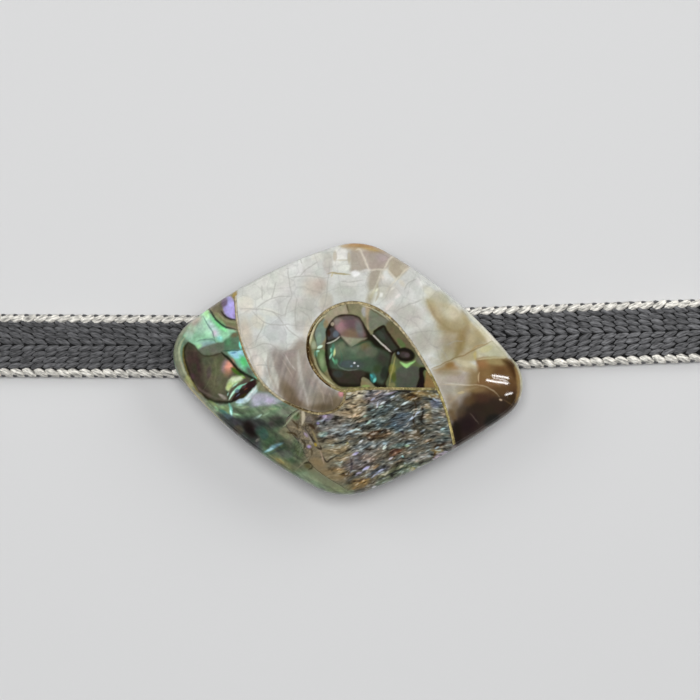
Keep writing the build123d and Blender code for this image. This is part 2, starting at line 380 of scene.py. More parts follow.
    # Dark band and the lower green
    area(c, [(218, 414), (232, 417), (248, 417), (260, 419), (272, 423), (286, 424), (280, 430), (266, 433),
         (262, 444), (262, 452), (250, 448), (238, 437), (228, 427)], (56, 60, 56), 4)
    spot(c, (229, 417), (7, 3), (78, 92, 104), 0.7, 25)
    spot(c, (236, 422), (9, 4), (54, 56, 56), 0.8, 25)
    spot(c, (276, 424), (9, 4), (56, 50, 50), 0.9)
    area(c, [(243, 423), (248, 421.5), (253, 425), (256, 431), (258, 436), (252, 437), (247, 434),
         (244, 429)], (26, 19, 16), 3.6, 0.95)
    spot(c, (277, 420), (13, 6), (50, 50, 44), 0.85, 0, 1.0)
    spot(c, (261, 431), (7, 6), (52, 72, 62), 0.8, 20)
    spot(c, (238, 430), (6, 6), (66, 60, 48), 0.8, 40)
    spot(c, (258, 440), (3, 1.6), (122, 124, 112), 0.7, -35)
    spot(c, (262, 446), (6, 7), (62, 72, 70), 0.8)
    area(c, [(262, 430), (272, 428), (284, 428), (296, 438), (306, 452), (306, 470), (294, 474), (280, 466),
         (268, 457), (262, 446)], (76, 90, 68), 5)
    spot(c, (288, 433), (11, 7), (112, 106, 84), 0.85, 20)
    spot(c, (264, 434), (5, 7), (54, 84, 74), 0.8, -15)
    spot(c, (271, 441), (8, 5), (66, 86, 64), 0.7, -30)
    spot(c, (286, 454), (9, 5), (86, 92, 82), 0.8, 10)
    spot(c, (299, 456), (6, 7), (98, 104, 82), 0.7, -20)
    spot(c, (300, 450), (5, 8), (92, 108, 68), 0.7, -20)
    stroke(c, [(264, 452), (268, 450.5), (273, 447.5), (278, 444.5), (284, 442.5)], (120, 168, 178), 3.6,
         0.85, 0.4, 1.6)
    spot(c, (270, 449.5), (4.5, 1.5), (168, 206, 212), 0.75, -22, 1.0)
    stroke(c, [(268, 455), (277, 451), (286, 447)], (56, 70, 66), 1.8, 0.6)
    area(c, [(270, 456), (280, 458), (290, 463), (296, 471), (288, 470), (277, 463)], (132, 128, 92), 3.5,
         0.9)
    spot(c, (280, 461), (6, 2), (142, 126, 76), 0.6, 30)
    spot(c, (299, 467), (9, 6), (106, 106, 84), 0.8)
    area(c, [(296, 472), (308, 474), (322, 480), (336, 484), (352, 487), (356, 494), (340, 497), (322, 491),
         (306, 482)], (126, 138, 112), 3.5)
    spot(c, (336, 490), (10, 3.5), (158, 170, 126), 0.7, 5)
    spot(c, (318, 484), (9, 3.5), (118, 146, 112), 0.6, 28)
    spot(c, (291, 440), (9, 7), (114, 118, 94), 0.6, -20, 1.0)
    # Flowing growth lines in the lower field, along the plate's edge
    along = (x * 0.82 + y * 0.57) * 0.22
    across = (y * 0.82 - x * 0.57) * 0.8 + 0.8 * cloud(x, y, 9.0, 64)
    flow = cloud(along, across, 2.6, 65, 3)
    c["colour"] *= (1 + 0.34 * softStep((y - 398) / 10) * flow)[:, None]
    speck = cloud(x, y, 2.4, 66, 2)
    c["colour"] *= (1 + 0.08 * speck)[:, None]
    addNacre(c, 61, 0.16, 9.0, 5.0)
    brokenJoint(c)
    return c["colour"]


def eyeAbalone(x, y):
    c = newCanvas(x, y, (124, 122, 92), 0.35)
    # Ring round the dark clover
    area(c, [(322, 320), (332, 308), (347, 303), (347, 314), (336, 318), (328, 328)], (154, 146, 122))
    area(c, [(347, 302), (362, 304), (366, 312), (362, 320), (350, 312)], (132, 128, 98))
    spot(c, (364.5, 312), (3.5, 6), (162, 160, 160), 0.85, -10)
    area(c, [(366, 306), (372, 309), (371, 322), (368, 330), (366, 320)], (164, 146, 118), 1.2, 0.8)
    area(c, [(370, 310), (382, 312), (392, 320), (388, 326), (380, 326), (370, 330)], (112, 116, 98))
    area(c, [(386, 326), (392, 320), (404, 332), (414, 345), (420, 354), (411, 350), (400, 346),
         (393, 338)], (102, 94, 68), 1.4)
    spot(c, (401, 343), (3, 7), (86, 112, 62), 0.8, -38)
    stroke(c, [(347, 303), (347.5, 308), (349, 313)], (72, 64, 40), 1.1, 0.8)
    area(c, [(316, 324), (321, 318), (326, 321), (327, 330), (324, 340), (318, 347), (315, 338)],
         (112, 130, 116), 1.2)
    spot(c, (319, 338), (3, 7), (124, 150, 126), 0.7)
    spot(c, (326, 324), (3, 5), (146, 124, 92), 0.8)
    stroke(c, [(321, 318), (316, 326), (314.5, 336), (317, 346)], (66, 68, 50), 1.3, 0.85)
    area(c, [(314, 352), (320, 349), (325, 351), (327, 360), (328, 367), (322, 374), (317, 365)],
         (96, 114, 78), 1.2)
    spot(c, (322, 361), (3, 10), (140, 166, 118), 0.8, -4, 1.0)
    spot(c, (316, 354), (2, 4), (110, 172, 152), 0.8)
    stroke(c, [(324, 346), (327, 354), (327, 362)], (116, 104, 70), 2.4, 0.8)
    spot(c, (314, 345), (3, 5), (166, 172, 148), 0.8, 0, 1.0)
    spot(c, (320, 347), (3.6, 1.7), (196, 230, 206), 0.95, -28)
    spot(c, (318, 351), (2, 1.2), (170, 216, 200), 0.8)
    area(c, [(320, 377), (326, 372), (333, 379), (340, 385), (350, 387), (362, 387), (362, 390), (346, 391),
         (334, 387), (326, 382)], (118, 114, 78), 1.1)
    stroke(c, [(324, 378), (332, 385), (342, 389), (352, 389.5)], (170, 164, 116), 1.4, 0.8)
    spot(c, (354, 388), (7, 1.8), (140, 134, 84), 0.8)
    # Clover: black ground first, then what lies in it
    area(c, [(330, 323), (335, 317.5), (342, 314.6), (351, 314.4), (358.5, 316.4), (363, 322), (367, 329),
         (372, 335), (375, 330), (384, 325), (388, 332), (394, 341), (400, 349), (393, 354), (391, 366),
         (389, 377), (388, 385), (382, 389), (375, 386), (369, 380), (364, 377), (361, 379), (361, 386),
         (344, 387), (336, 384), (331, 378), (327, 367), (325, 352), (326, 340), (326, 331)], (30, 25, 14),
         0.9)
    area(c, [(334, 321), (341, 317), (351, 316), (359, 319), (363, 327), (366, 336), (358, 339), (350, 344),
         (343, 338), (336, 330)], (108, 88, 82), 2.2)
    spot(c, (341, 327), (8, 9), (156, 120, 124), 0.9, 20, 1.0)
    spot(c, (351, 323), (9, 7), (100, 82, 86), 0.8, 0, 1.0)
    spot(c, (351, 334), (10, 6), (124, 102, 82), 0.85, 0, 1.0)
    spot(c, (359.5, 329), (4.5, 11), (112, 112, 112), 0.85, -14, 1.0)
    spot(c, (337, 321), (5, 4), (132, 122, 116), 0.8, -30, 1.0)
    spot(c, (348, 318), (8, 2.4), (86, 80, 78), 0.7)
    spot(c, (332.5, 324), (2, 2.4), (176, 164, 142), 0.9)
    area(c, [(341, 336), (347, 337), (357, 338), (367, 338), (360, 342), (352, 347), (345, 341)],
         (150, 149, 126), 1.6, 0.9)
    area(c, [(328, 340), (328, 332), (332, 327), (337, 331), (340, 336), (334, 339)], (66, 62, 62), 1.2)
    spot(c, (336, 334), (3.5, 4), (96, 108, 118), 0.85, 20)
    spot(c, (329, 333), (2, 4), (48, 28, 16), 0.9)
    area(c, [(328, 345), (336, 341), (341, 338), (347, 344), (352, 348), (361, 343), (369, 341), (376, 347),
         (389, 354), (388, 365), (386, 376), (383, 384), (378, 383), (372, 377), (366, 372), (345, 371),
         (332, 369), (329, 358)], (64, 78, 62), 2.2)
    spot(c, (349, 354), (16, 9), (78, 98, 78), 0.8, 8, 1.0)
    spot(c, (364, 346), (8, 6), (104, 98, 64), 0.8, 0, 1.0)
    spot(c, (342, 345), (4, 4), (102, 104, 82), 0.7)
    spot(c, (371, 352), (8, 6), (100, 100, 84), 0.75, 10)
    spot(c, (348, 364), (10, 4.5), (70, 82, 84), 0.8)
    spot(c, (339, 349), (9, 9), (112, 122, 98), 0.7, -20, 1.0)
    spot(c, (355, 348), (9, 6), (114, 126, 104), 0.65, 0, 1.0)
    spot(c, (361, 355), (7, 5), (98, 108, 86), 0.6, 0, 1.0)
    spot(c, (383, 360), (9, 12), (54, 54, 44), 0.85, 0, 1.0)
    spot(c, (384, 373), (4, 8), (38, 42, 34), 0.85, 10)
    spot(c, (377, 369), (5, 5), (48, 62, 34), 0.7, 0, 1.0)
    spot(c, (357, 365), (8, 6), (66, 78, 74), 0.7, 0, 1.0)
    area(c, [(332, 370), (345, 370), (360, 370), (366, 374), (360, 378), (359, 384), (345, 384),
         (337, 381)], (54, 50, 40), 2, 0.95)
    spot(c, (338, 374), (6, 4), (52, 60, 56), 0.7)
    # The next stroke is a painted reflection: a faint pale arc on the dome's centre
    stroke(c, [(336, 362), (340, 367), (348, 370), (358, 369)], (118, 130, 120), 1.0, 0.75)
    spot(c, (333, 350), (2.5, 7), (70, 128, 104), 0.8, 5)
    spot(c, (334.5, 352.5), (1.3, 5), (212, 214, 150), 0.85, 8, 0.9)
    spot(c, (331, 356), (1.2, 3.8), (160, 220, 190), 0.85, 24, 0.9)
    spot(c, (333.5, 360), (1.2, 4), (110, 186, 146), 0.8, -24, 0.9)
    spot(c, (336, 362), (2.2, 3.4), (92, 158, 120), 0.7, 20, 1.0)
    spot(c, (331, 350), (1.2, 2.4), (120, 190, 160), 0.8)
    stroke(c, [(340, 350), (342, 358), (340, 366)], (60, 104, 82), 1.2, 0.5)
    # Painted reflection: a small white speck at the dome's centre, with two dimmer dots beside it
    spot(c, (354.5, 363), (1.3, 1.1), (226, 230, 230), 0.9)
    spot(c, (358, 366), (1.1, 1.0), (196, 206, 208), 0.9)
    spot(c, (351.5, 366), (1.4, 1.2), (120, 146, 156), 0.8)
    spot(c, (373, 378), (3.8, 5.5), (60, 140, 136), 0.7, -8)
    spot(c, (374.5, 380), (1.7, 3), (120, 214, 204), 0.9, 25, 0.9)
    spot(c, (371.5, 376), (1.2, 3), (70, 164, 176), 0.75, -35, 0.9)
    area(c, [(361.5, 387), (361.5, 380.5), (365, 381), (370, 384.5), (374, 387.5)], (136, 126, 90), 1.1)
    spot(c, (366, 386), (5, 1.8), (136, 156, 92), 0.85)
    area(c, [(374, 334), (379, 330), (384, 327), (387, 334), (393, 342), (398, 349), (392, 351),
         (384, 344)], (50, 52, 42), 1.8)
    spot(c, (381, 335), (3, 7), (58, 72, 58), 0.7, -40)
    stroke(c, [(384, 326), (388, 333), (394, 341), (400, 349)], (34, 24, 12), 1.8, 0.85, 0.1, 1.1)
    stroke(c, [(373, 332), (378, 329), (384, 326)], (34, 24, 10), 1.8, 0.85, 0.1)
    stroke(c, [(372.5, 334.5), (381, 343), (391, 352)], (214, 208, 198), 1.5, 0.97, 0.08)
    stroke(c, [(326.5, 343.5), (333, 341.5), (340, 336.5)], (206, 206, 194), 1.3, 0.9, 0.1)
    stroke(c, [(352, 347), (360, 343.5), (368, 341)], (46, 70, 52), 1.2, 0.7)
    # Right of the clover
    area(c, [(394, 354), (412, 360), (424, 362), (430, 372), (437, 388), (389, 388), (390, 372)],
         (90, 98, 66), 1.2)
    spot(c, (419, 356), (9, 6), (98, 97, 72), 0.8, 35, 1.0)
    spot(c, (394, 377), (3.2, 5.5), (78, 88, 36), 0.9, -12)
    spot(c, (392, 369), (4, 6), (126, 124, 58), 0.75, 12)
    spot(c, (392, 385), (4, 3), (140, 136, 88), 0.7)
    stroke(c, [(396, 353), (393, 366), (390, 380), (388.5, 388)], (158, 150, 92), 1.3, 0.75)
    area(c, [(398, 368), (409, 366), (420, 368), (419, 380), (417, 388), (398, 388), (396, 378)],
         (76, 79, 68), 1.8)
    spot(c, (404, 372), (5, 6), (84, 88, 76), 0.7)
    spot(c, (411, 378), (5, 9), (76, 82, 68), 0.7)
    spot(c, (421, 361), (6, 4), (106, 108, 92), 0.85, 30)
    spot(c, (411, 358), (5, 3), (116, 128, 80), 0.7)
    area(c, [(400, 361.5), (407, 363.5), (415, 360.5), (411, 365), (407, 368), (403, 366)], (154, 204, 126),
         1.1)
    area(c, [(419.5, 367.5), (427, 368), (423, 372), (424.5, 380), (424, 388), (416, 388.5), (419, 378)],
         (26, 18, 8), 1.0)
    area(c, [(426, 371), (431, 376), (438, 388), (425, 388), (425, 379)], (132, 106, 66), 1.2)
    spot(c, (405, 354.6), (11, 7.2), (24, 20, 10), 0.97, 12, 0.3)
    spot(c, (404.5, 354.8), (6.8, 3.8), (66, 60, 56), 0.95, 8, 0.7)
    spot(c, (407, 355), (3, 2.4), (84, 74, 74), 0.7)
    spot(c, (398, 353), (1.5, 1.8), (112, 122, 136), 0.85)
    # Edges
    stroke(c, [(309, 344), (308.5, 352), (311, 363), (316, 373), (323, 380.5), (331, 386)], (66, 46, 18),
         3.0, 0.9, 0.2)
    stroke(c, [(311.5, 351), (314, 361), (318.5, 370), (325, 378), (334, 385)], (198, 194, 158), 1.8, 0.9,
         0.2)
    stroke(c, [(314.5, 352), (316.5, 361), (321, 371)], (70, 66, 40), 1.0, 0.7)
    stroke(c, [(310, 346), (311, 338), (314, 329), (319, 321), (326, 315)], (204, 196, 158), 2.2, 0.85, 0.2)
    stroke(c, [(315, 330), (319, 323), (324, 317)], (84, 68, 42), 1.0, 0.8, 0.2)
    stroke(c, [(311, 350), (318, 349), (326, 348)], (70, 78, 60), 0.9, 0.6)
    stroke(c, [(332, 309), (342, 304), (352, 303)], (110, 100, 66), 1.2, 0.7)
    stroke(c, [(360, 304.5), (372, 308.5), (382, 314), (390, 321)], (198, 186, 156), 1.2, 0.8, 0.1)
    stroke(c, [(368, 308), (377, 313), (386, 319)], (92, 74, 54), 1.0, 0.75)
    stroke(c, [(309, 344), (311, 356), (314.5, 367), (321, 376.5)], (78, 62, 32), 4, 0.85, 0.25, 1.4)
    stroke(c, [(315.5, 349), (317, 360), (321, 370), (327, 376)], (62, 64, 44), 1.5, 0.7, 0.2)
    stroke(c, [(314, 355), (317, 366), (323, 375), (331, 382)], (156, 150, 112), 1.8, 0.75, 0.2)
    addNacre(c, 67, 0.12, 8.0, 4.0)
    return c["colour"]


def whiteShell(x, y):
    c = newCanvas(x, y, (208, 209, 203), 0.5)
    broad = cloud(x, y, 16.0, 31)[:, None] * np.array((7, 6, 6))
    c["colour"] += broad + cloud(x, y, 6.0, 32)[:, None] * np.array((3, 3, 4))
    # Upper and left field
    spot(c, (268, 285), (34, 18), (218, 219, 210), 0.8, -28)
    spot(c, (298, 270), (16, 9), (221, 221, 217), 0.9, -22)
    spot(c, (309, 268), (8, 12), (204, 202, 197), 0.8, -5)
    spot(c, (318, 256), (8, 6), (214, 210, 202), 0.8, -20)
    spot(c, (328, 263), (6, 12), (192, 187, 178), 0.8)
    spot(c, (314, 288), (14, 14), (193, 184, 171), 0.9, -15, 1.0)
    spot(c, (321, 285), (8, 8), (186, 174, 160), 0.65, 0, 1.0)
    spot(c, (302, 306), (15, 10), (204, 201, 194), 0.8)
    spot(c, (276, 330), (20, 15), (206, 210, 207), 0.8)
    spot(c, (246, 304), (9, 10), (214, 210, 196), 0.8, -10)
    spot(c, (245, 331), (8, 17), (207, 197, 180), 0.9, -8, 1.0)
    spot(c, (249, 342), (6, 11), (203, 193, 180), 0.7, -15, 1.0)
    spot(c, (258, 322), (9, 8), (214, 208, 192), 0.7, 30)
    spot(c, (270, 312), (12, 4), (216, 215, 206), 0.8, 15)
    spot(c, (302, 326), (10, 8), (188, 186, 178), 0.85)
    spot(c, (308, 330), (5, 16), (206, 199, 186), 0.8, 10)
    spot(c, (326, 303), (8, 12), (190, 184, 170), 0.8, 12)
    spot(c, (346, 290), (14, 10), (196, 197, 188), 0.9)
    # Lower left field and its streaks
    spot(c, (258, 358), (8, 12), (212, 206, 196), 0.9, -20)
    spot(c, (258, 371), (7, 9), (200, 189, 172), 0.7, -30, 1.0)
    spot(c, (264, 352), (9, 6), (208, 210, 202), 0.8)
    area(c, [(274, 352), (284, 352), (291, 348), (297, 341), (303, 339), (308, 346), (310, 360), (316, 374),
         (326, 384), (338, 390), (345, 394), (343, 405), (334, 411), (318, 413), (304, 410), (290, 404),
         (279, 396), (272, 386), (270, 368)], (156, 147, 137), 4.5)
    spot(c, (283, 369), (8, 19), (148, 136, 130), 0.8, -8, 1.0)
    spot(c, (290, 354), (8, 5), (150, 138, 132), 0.8, -10)
    spot(c, (302, 348), (6, 8), (164, 155, 142), 0.85)
    spot(c, (289, 393), (9, 18), (112, 97, 76), 0.9, -30, 1.0)
    spot(c, (296, 403), (14, 6), (110, 94, 72), 0.8, 22, 1.0)
    spot(c, (292, 376), (6, 12), (146, 134, 122), 0.8, -12)
    spot(c, (310, 388), (8, 12), (148, 142, 134), 0.85, -30)
    spot(c, (326, 400), (17, 11), (124, 113, 96), 0.85, 8, 1.0)
    spot(c, (337, 402), (8, 8), (112, 98, 76), 0.85, 0, 1.0)
    spot(c, (326, 391), (9, 4), (150, 138, 126), 0.7, 20)
    spot(c, (323, 408), (20, 6), (94, 82, 60), 0.85, 0, 1.0)
    stroke(c, [(271, 352), (271, 364), (275, 376), (278, 389)], (192, 190, 180), 6, 0.8, 0.3, 2)
    stroke(c, [(264, 366), (268, 378), (274, 388)], (190, 186, 176), 3.5, 0.75, 0.3, 1.5)
    stroke(c, [(268, 351), (268, 362), (270, 374), (275, 386)], (178, 168, 156), 1.6, 0.7)
    stroke(c, [(299, 350), (299, 366), (302, 380), (306, 394), (308, 406)], (186, 181, 171), 3, 0.8, 0.3,
         1.5)
    stroke(c, [(297, 352), (300, 368), (301, 386), (300, 400)], (182, 176, 168), 4, 0.6, 0.35, 2)
    stroke(c, [(284, 353), (289, 361), (296, 371)], (208, 202, 194), 1.0, 0.7)
    stroke(c, [(281, 358), (288, 368), (294, 380)], (190, 178, 166), 1.0, 0.6)
    stroke(c, [(305, 352), (306, 368), (311, 382), (318, 396)], (156, 142, 132), 1.6, 0.6)
    stroke(c, [(292, 356), (292, 372), (296, 388)], (148, 134, 124), 1.6, 0.5)
    stroke(c, [(316, 380), (322, 392), (325, 404)], (172, 160, 144), 1.6, 0.5)
    stroke(c, [(326, 387), (331, 396), (333, 406)], (168, 154, 138), 1.3, 0.5)
    stroke(c, [(281, 352), (289, 349), (295, 342), (301, 338.5), (306, 343)], (186, 180, 172), 1.2, 0.7)
    spot(c, (341, 393.5), (3.6, 3.4), (184, 128, 126), 0.95, 10)
    spot(c, (340.5, 393), (1.8, 1.4), (208, 152, 152), 0.8, 10)
    spot(c, (307, 311), (15, 16), (180, 180, 170), 0.6, 0, 1.0)
    spot(c, (261, 350), (9, 16), (180, 180, 170), 0.6, -18, 1.0)
    spot(c, (277, 353), (11, 8), (148, 141, 134), 0.6, 0, 1.0)
    # Top centre blocks
    area(c, [(351, 251), (362, 252), (368, 268), (360, 271), (350, 270)], (168, 157, 143), 3.0, 0.9)
    spot(c, (356, 266), (6, 5), (182, 172, 160), 0.6, 0, 1.0)
    area(c, [(362, 252), (374, 250), (386, 251), (393, 256), (386, 269), (371, 270), (366, 260)],
         (168, 156, 144), 2.4, 0.95)
    spot(c, (382, 257), (8, 6), (176, 160, 160), 0.7, 15, 1.0)
    spot(c, (374, 265), (7, 4), (170, 158, 146), 0.6, 0, 1.0)
    area(c, [(393, 256), (402, 261), (409, 266), (400, 277), (394, 277), (388, 269)], (170, 158, 138), 2.4,
         0.95)
    spot(c, (404, 268), (4, 4), (196, 188, 166), 0.7, 30)
    area(c, [(370, 271), (382, 271), (380, 280), (376, 290), (368, 288)], (166, 156, 138), 3.2, 0.85)
    stroke(c, [(341, 246.5), (350, 245), (362, 244.5), (374, 246.5), (386, 250.5)], (166, 134, 88), 9, 0.95,
         0.3, 4.5)
    stroke(c, [(350, 244), (361, 243.5), (376, 245.5)], (172, 126, 64), 5, 0.8, 0.35, 2.5)
    stroke(c, [(362, 248), (370, 249), (379, 251)], (196, 164, 100), 2, 0.6, 0.3, 1.4)
    area(c, [(335, 249), (341, 248), (347, 250), (346, 256), (348, 259), (342, 260), (336, 259)],
         (230, 229, 222), 1.8, 0.9)
    area(c, [(333, 263), (336, 261), (344, 262), (349, 260.5), (350, 267), (346, 271), (337, 270)],
         (227, 226, 218), 1.8, 0.9)
    area(c, [(352, 272), (356, 271), (360, 273), (358, 276), (354, 277)], (246, 246, 244), 1.4, 0.95)
    stroke(c, [(361, 271.5), (366, 270), (370, 270)], (224, 222, 216), 1.6, 0.7, 0.3, 1.0)
    spot(c, (335, 256), (2.4, 6), (188, 178, 158), 0.7)
    spot(c, (349, 258), (2, 7), (184, 174, 152), 0.75)
    stroke(c, [(336, 260), (343, 260.5), (350, 260)], (196, 188, 168), 1.2, 0.8)
    stroke(c, [(327, 274), (333, 273), (342, 274), (351, 275)], (152, 136, 92), 1.5, 0.85)
    stroke(c, [(333, 273), (331, 277)], (186, 172, 120), 1.2, 0.7)
    spot(c, (352, 283), (7, 5), (214, 213, 206), 0.7)
    for line in (
        [(355, 250), (360, 249.5), (364, 258), (368, 268), (370, 270)],
        [(370, 270), (377, 269.5), (384, 270), (388, 270)],
        [(384, 269), (389, 260), (394, 255)],
        [(388, 270), (393, 276), (396, 280)],
        [(396, 280), (401, 275), (405, 270), (411, 267)],
        [(381, 271), (379, 278), (376, 285), (374, 290), (370, 298), (368, 303)],
        [(400, 276), (392, 284), (386, 292)],
    ):
        stroke(c, line, (218, 211, 192), 1.6, 0.72, 0.15, 1.0)
    stroke(c, [(378, 281), (376, 289), (372, 295), (369, 303)], (204, 200, 170), 2.2, 0.6)
    spot(c, (370, 298), (5, 9), (170, 161, 138), 0.75, 15, 1.0)
    stroke(c, [(377, 284), (379, 292), (375, 302)], (170, 156, 132), 2.2, 0.6)
    spot(c, (386, 291), (14, 12), (180, 175, 161), 0.65, 0, 1.0)
    spot(c, (391, 309), (9, 6), (184, 178, 168), 0.6, 0, 1.0)
    for at, size, tone in (
        ((381, 295), (3, 2.4), (232, 230, 226)),
        ((377, 290), (2.5, 1.6), (232, 230, 208)),
        ((398, 296), (5, 2), (230, 223, 218)),
        ((393, 288), (4, 1.6), (226, 224, 212)),
        ((402, 283), (3, 5), (214, 208, 190)),
        ((421, 283), (3.5, 4), (226, 228, 220)),
        ((382, 277), (3, 4), (212, 206, 192)),
        ((390, 305), (7, 2.4), (224, 216, 208)),
        ((386, 310), (5, 2), (220, 212, 204)),
    ):
        spot(c, at, size, tone, 0.75, -42, 1.0)
    # Right field
    spot(c, (410, 316), (18, 13), (194, 192, 182), 0.85, 30)
    spot(c, (428, 340), (13, 18), (187, 188, 175), 0.9, 25)
    spot(c, (420, 341), (15, 14), (164, 162, 150), 0.75, 40, 1.0)
    spot(c, (440, 354), (8, 5), (192, 193, 182), 0.8, 10)
    spot(c, (434, 361), (7, 4), (198, 196, 182), 0.8, 30)
    spot(c, (440, 300), (12, 9), (194, 190, 166), 0.9, 35)
    spot(c, (430, 292), (10, 5), (204, 202, 184), 0.8, 35)
    area(c, [(426, 300), (434, 297), (444, 304), (456, 308), (464, 318), (470, 326), (468, 336), (462, 334),
         (452, 331), (443, 333), (438, 326), (433, 316), (428, 308)], (189, 180, 151), 8, 0.85)
    spot(c, (432, 307), (5, 11), (180, 166, 128), 0.7, -32, 1.0)
    stroke(c, [(430, 300), (436, 312), (444, 322), (455, 328), (467, 328)], (176, 162, 126), 8, 0.6, 0.3, 5)
    stroke(c, [(440, 304), (452, 309), (462, 317), (468, 328)], (180, 165, 128), 6, 0.5, 0.3, 4)
    stroke(c, [(462, 311), (467, 321), (469, 332)], (164, 144, 102), 5, 0.65, 0.3, 3.5)
    spot(c, (452, 319), (7, 5), (194, 186, 158), 0.8, 25, 1.0)
    spot(c, (441, 318), (5, 8), (184, 170, 134), 0.65, -25, 1.0)
    stroke(c, [(438, 326), (447, 331), (455, 332), (464, 331)], (160, 142, 104), 3.5, 0.6, 0.35, 3)
    stroke(c, [(460, 330), (461, 340), (459, 349), (455, 357)], (142, 120, 74), 5, 0.8, 0.3, 4.5)
    spot(c, (447, 344), (14, 10), (172, 160, 140), 0.85, 20, 1.0)
    spot(c, (474, 340), (10, 11), (178, 166, 132), 0.85, 30, 1.0)
    spot(c, (481, 336), (10, 7), (184, 172, 138), 0.8, 48, 1.0)
    spot(c, (460, 342), (7, 11), (160, 144, 104), 0.6, 10, 1.0)
    area(c, [(442, 318), (458, 318), (470, 326), (480, 338), (486, 346), (478, 356), (466, 362), (452, 366),
         (441, 366), (440, 352), (444, 340), (438, 328)], (150, 135, 97), 6, 0.6)
    spot(c, (446, 343), (8, 6), (164, 154, 134), 0.6, 0, 1.0)
    stroke(c, [(465, 328), (462, 338), (461, 347), (455, 358)], (138, 118, 74), 8, 0.6, 0.3, 4)
    spot(c, (450, 314), (10, 8), (204, 197, 172), 0.65, 35, 1.0)
    spot(c, (438, 346), (7, 9), (186, 182, 168), 0.6, 0, 1.0)
    spot(c, (472, 338), (6, 7), (190, 176, 142), 0.6, 30, 1.0)
    stroke(c, [(427, 299), (432, 310), (438, 320), (447, 328), (457, 331), (466, 332)], (146, 128, 90), 2.6,
         0.6, 0.3, 2.2)
    stroke(c, [(464, 318), (474, 328), (484, 340), (490, 346)], (178, 160, 118), 5, 0.6, 0.35, 2.5)
    stroke(c, [(466, 310), (480, 322), (492, 336), (503, 350), (508, 358)], (226, 223, 203), 6, 0.9, 0.2,
         1.6)
    stroke(c, [(474, 322), (485, 334), (496, 347)], (214, 206, 174), 4, 0.7, 0.3, 1.5)
    area(c, [(476, 350), (484, 345), (493, 341), (503, 350), (508, 358), (498, 360), (484, 359),
         (477, 358)], (193, 189, 160), 2, 0.95)
    spot(c, (486, 349), (8, 4), (196, 190, 144), 0.7, -15)
    area(c, [(458, 357), (466, 352), (475, 349), (477, 358), (470, 362), (462, 361)], (170, 158, 122), 2.5,
         0.9)
    stroke(c, [(431, 369), (440, 365), (448, 361), (456, 357.5), (464, 355), (474, 350), (482, 346),
         (492, 341)], (132, 112, 74), 1.2, 0.8)
    stroke(c, [(470, 352), (474, 348), (480, 345), (488, 344)], (166, 136, 84), 1.2, 0.6)
    stroke(c, [(476, 351), (475, 356), (477, 361)], (182, 166, 110), 2.6, 0.8)
    spot(c, (466, 369), (12, 5), (166, 150, 116), 0.8, 8, 1.0)
    area(c, [(433, 370.5), (442, 366), (450, 362), (455, 364), (458, 368), (455, 371), (444, 372)],
         (150, 124, 84), 3.2, 0.9)
    spot(c, (450, 365), (5.5, 3.5), (140, 108, 62), 0.8, -20, 1.0)
    area(c, [(455, 359), (464, 360), (474, 364), (479, 368), (470, 367), (460, 365)], (194, 184, 152), 2.0,
         0.9)
    area(c, [(433, 372), (448, 372), (464, 373), (476, 374), (479, 384), (474, 392), (466, 396), (458, 402),
         (452, 410), (449, 418), (446, 404), (440, 390)], (176, 168, 152), 2.6, 0.95)
    spot(c, (455, 378), (11, 5), (172, 160, 148), 0.8, 5)
    spot(c, (447, 388), (6, 8), (166, 159, 146), 0.8, -25)
    stroke(c, [(435, 372), (448, 372), (462, 373)], (146, 130, 100), 5, 0.7, 0.2, 3)
    spot(c, (462, 389), (9, 5), (152, 141, 114), 0.7, -20, 1.0)
    spot(c, (451, 401), (6, 10), (146, 134, 112), 0.8, -20, 1.0)
    area(c, [(470, 371), (475, 369), (481, 372), (481, 388), (475, 391), (468, 392), (468, 382)],
         (138, 117, 78), 6, 0.9)
    # The dark heel, from honey brown at its top down to nearly black
    area(c, [(477, 359), (490, 357.5), (505, 358), (512, 361), (518, 370), (521, 382), (519, 398),
         (510, 410), (490, 412), (472, 408), (472, 392), (478, 380), (478, 368)], (122, 91, 56), 2.4, 0.97)
    area(c, [(446, 432), (452, 416), (459, 405), (467, 398), (478, 393), (490, 393), (504, 394), (516, 389),
         (519, 404), (514, 413), (500, 424), (480, 437), (458, 450), (452, 446)], (46, 34, 28), 11, 0.98)
    spot(c, (496, 361.5), (19, 5), (160, 142, 98), 0.9, 3, 0.9)
    spot(c, (483, 365), (7, 7), (156, 114, 74), 0.75, 0, 1.0)
    spot(c, (487, 374), (11, 9), (134, 106, 66), 0.75, 0, 1.0)
    stroke(c, [(503, 360), (510, 364), (514, 371), (515, 380)], (60, 38, 16), 8, 0.9, 0.35, 4)
    spot(c, (501, 373), (11, 8), (94, 66, 36), 0.75, 0, 1.0)
    spot(c, (510, 386), (9, 11), (88, 61, 34), 0.75, 0, 1.0)
    spot(c, (499, 391), (14, 6), (86, 62, 38), 0.75, 0, 1.0)
    spot(c, (477, 389), (12, 6), (128, 104, 70), 0.85, 5, 1.0)
    spot(c, (469, 400), (10, 7), (88, 66, 42), 0.8, -35, 1.0)
    spot(c, (482, 398), (11, 7), (72, 48, 36), 0.7, 5, 1.0)
    spot(c, (494, 407), (16, 10), (50, 40, 30), 0.7, -20, 1.0)
    spot(c, (512, 400), (7, 9), (58, 40, 22), 0.8, 20, 1.0)
    spot(c, (467, 425), (14, 11), (32, 23, 23), 0.8, -30, 1.0)
    spot(c, (492, 420), (10, 6), (30, 28, 26), 0.8, -30)
    spot(c, (455, 408), (5, 9), (116, 98, 74), 0.7, 25, 1.0)
    spot(c, (461, 412), (6, 8), (78, 62, 46), 0.7, 25, 1.0)
    spot(c, (461, 392.5), (4, 1.5), (204, 188, 146), 0.9, -12)
    stroke(c, [(449, 409), (452, 415), (455, 422)], (96, 76, 50), 7, 0.8, 0.25, 3)
    stroke(c, [(455, 421), (457, 430), (458, 446)], (30, 23, 17), 8, 0.9, 0.2, 3)
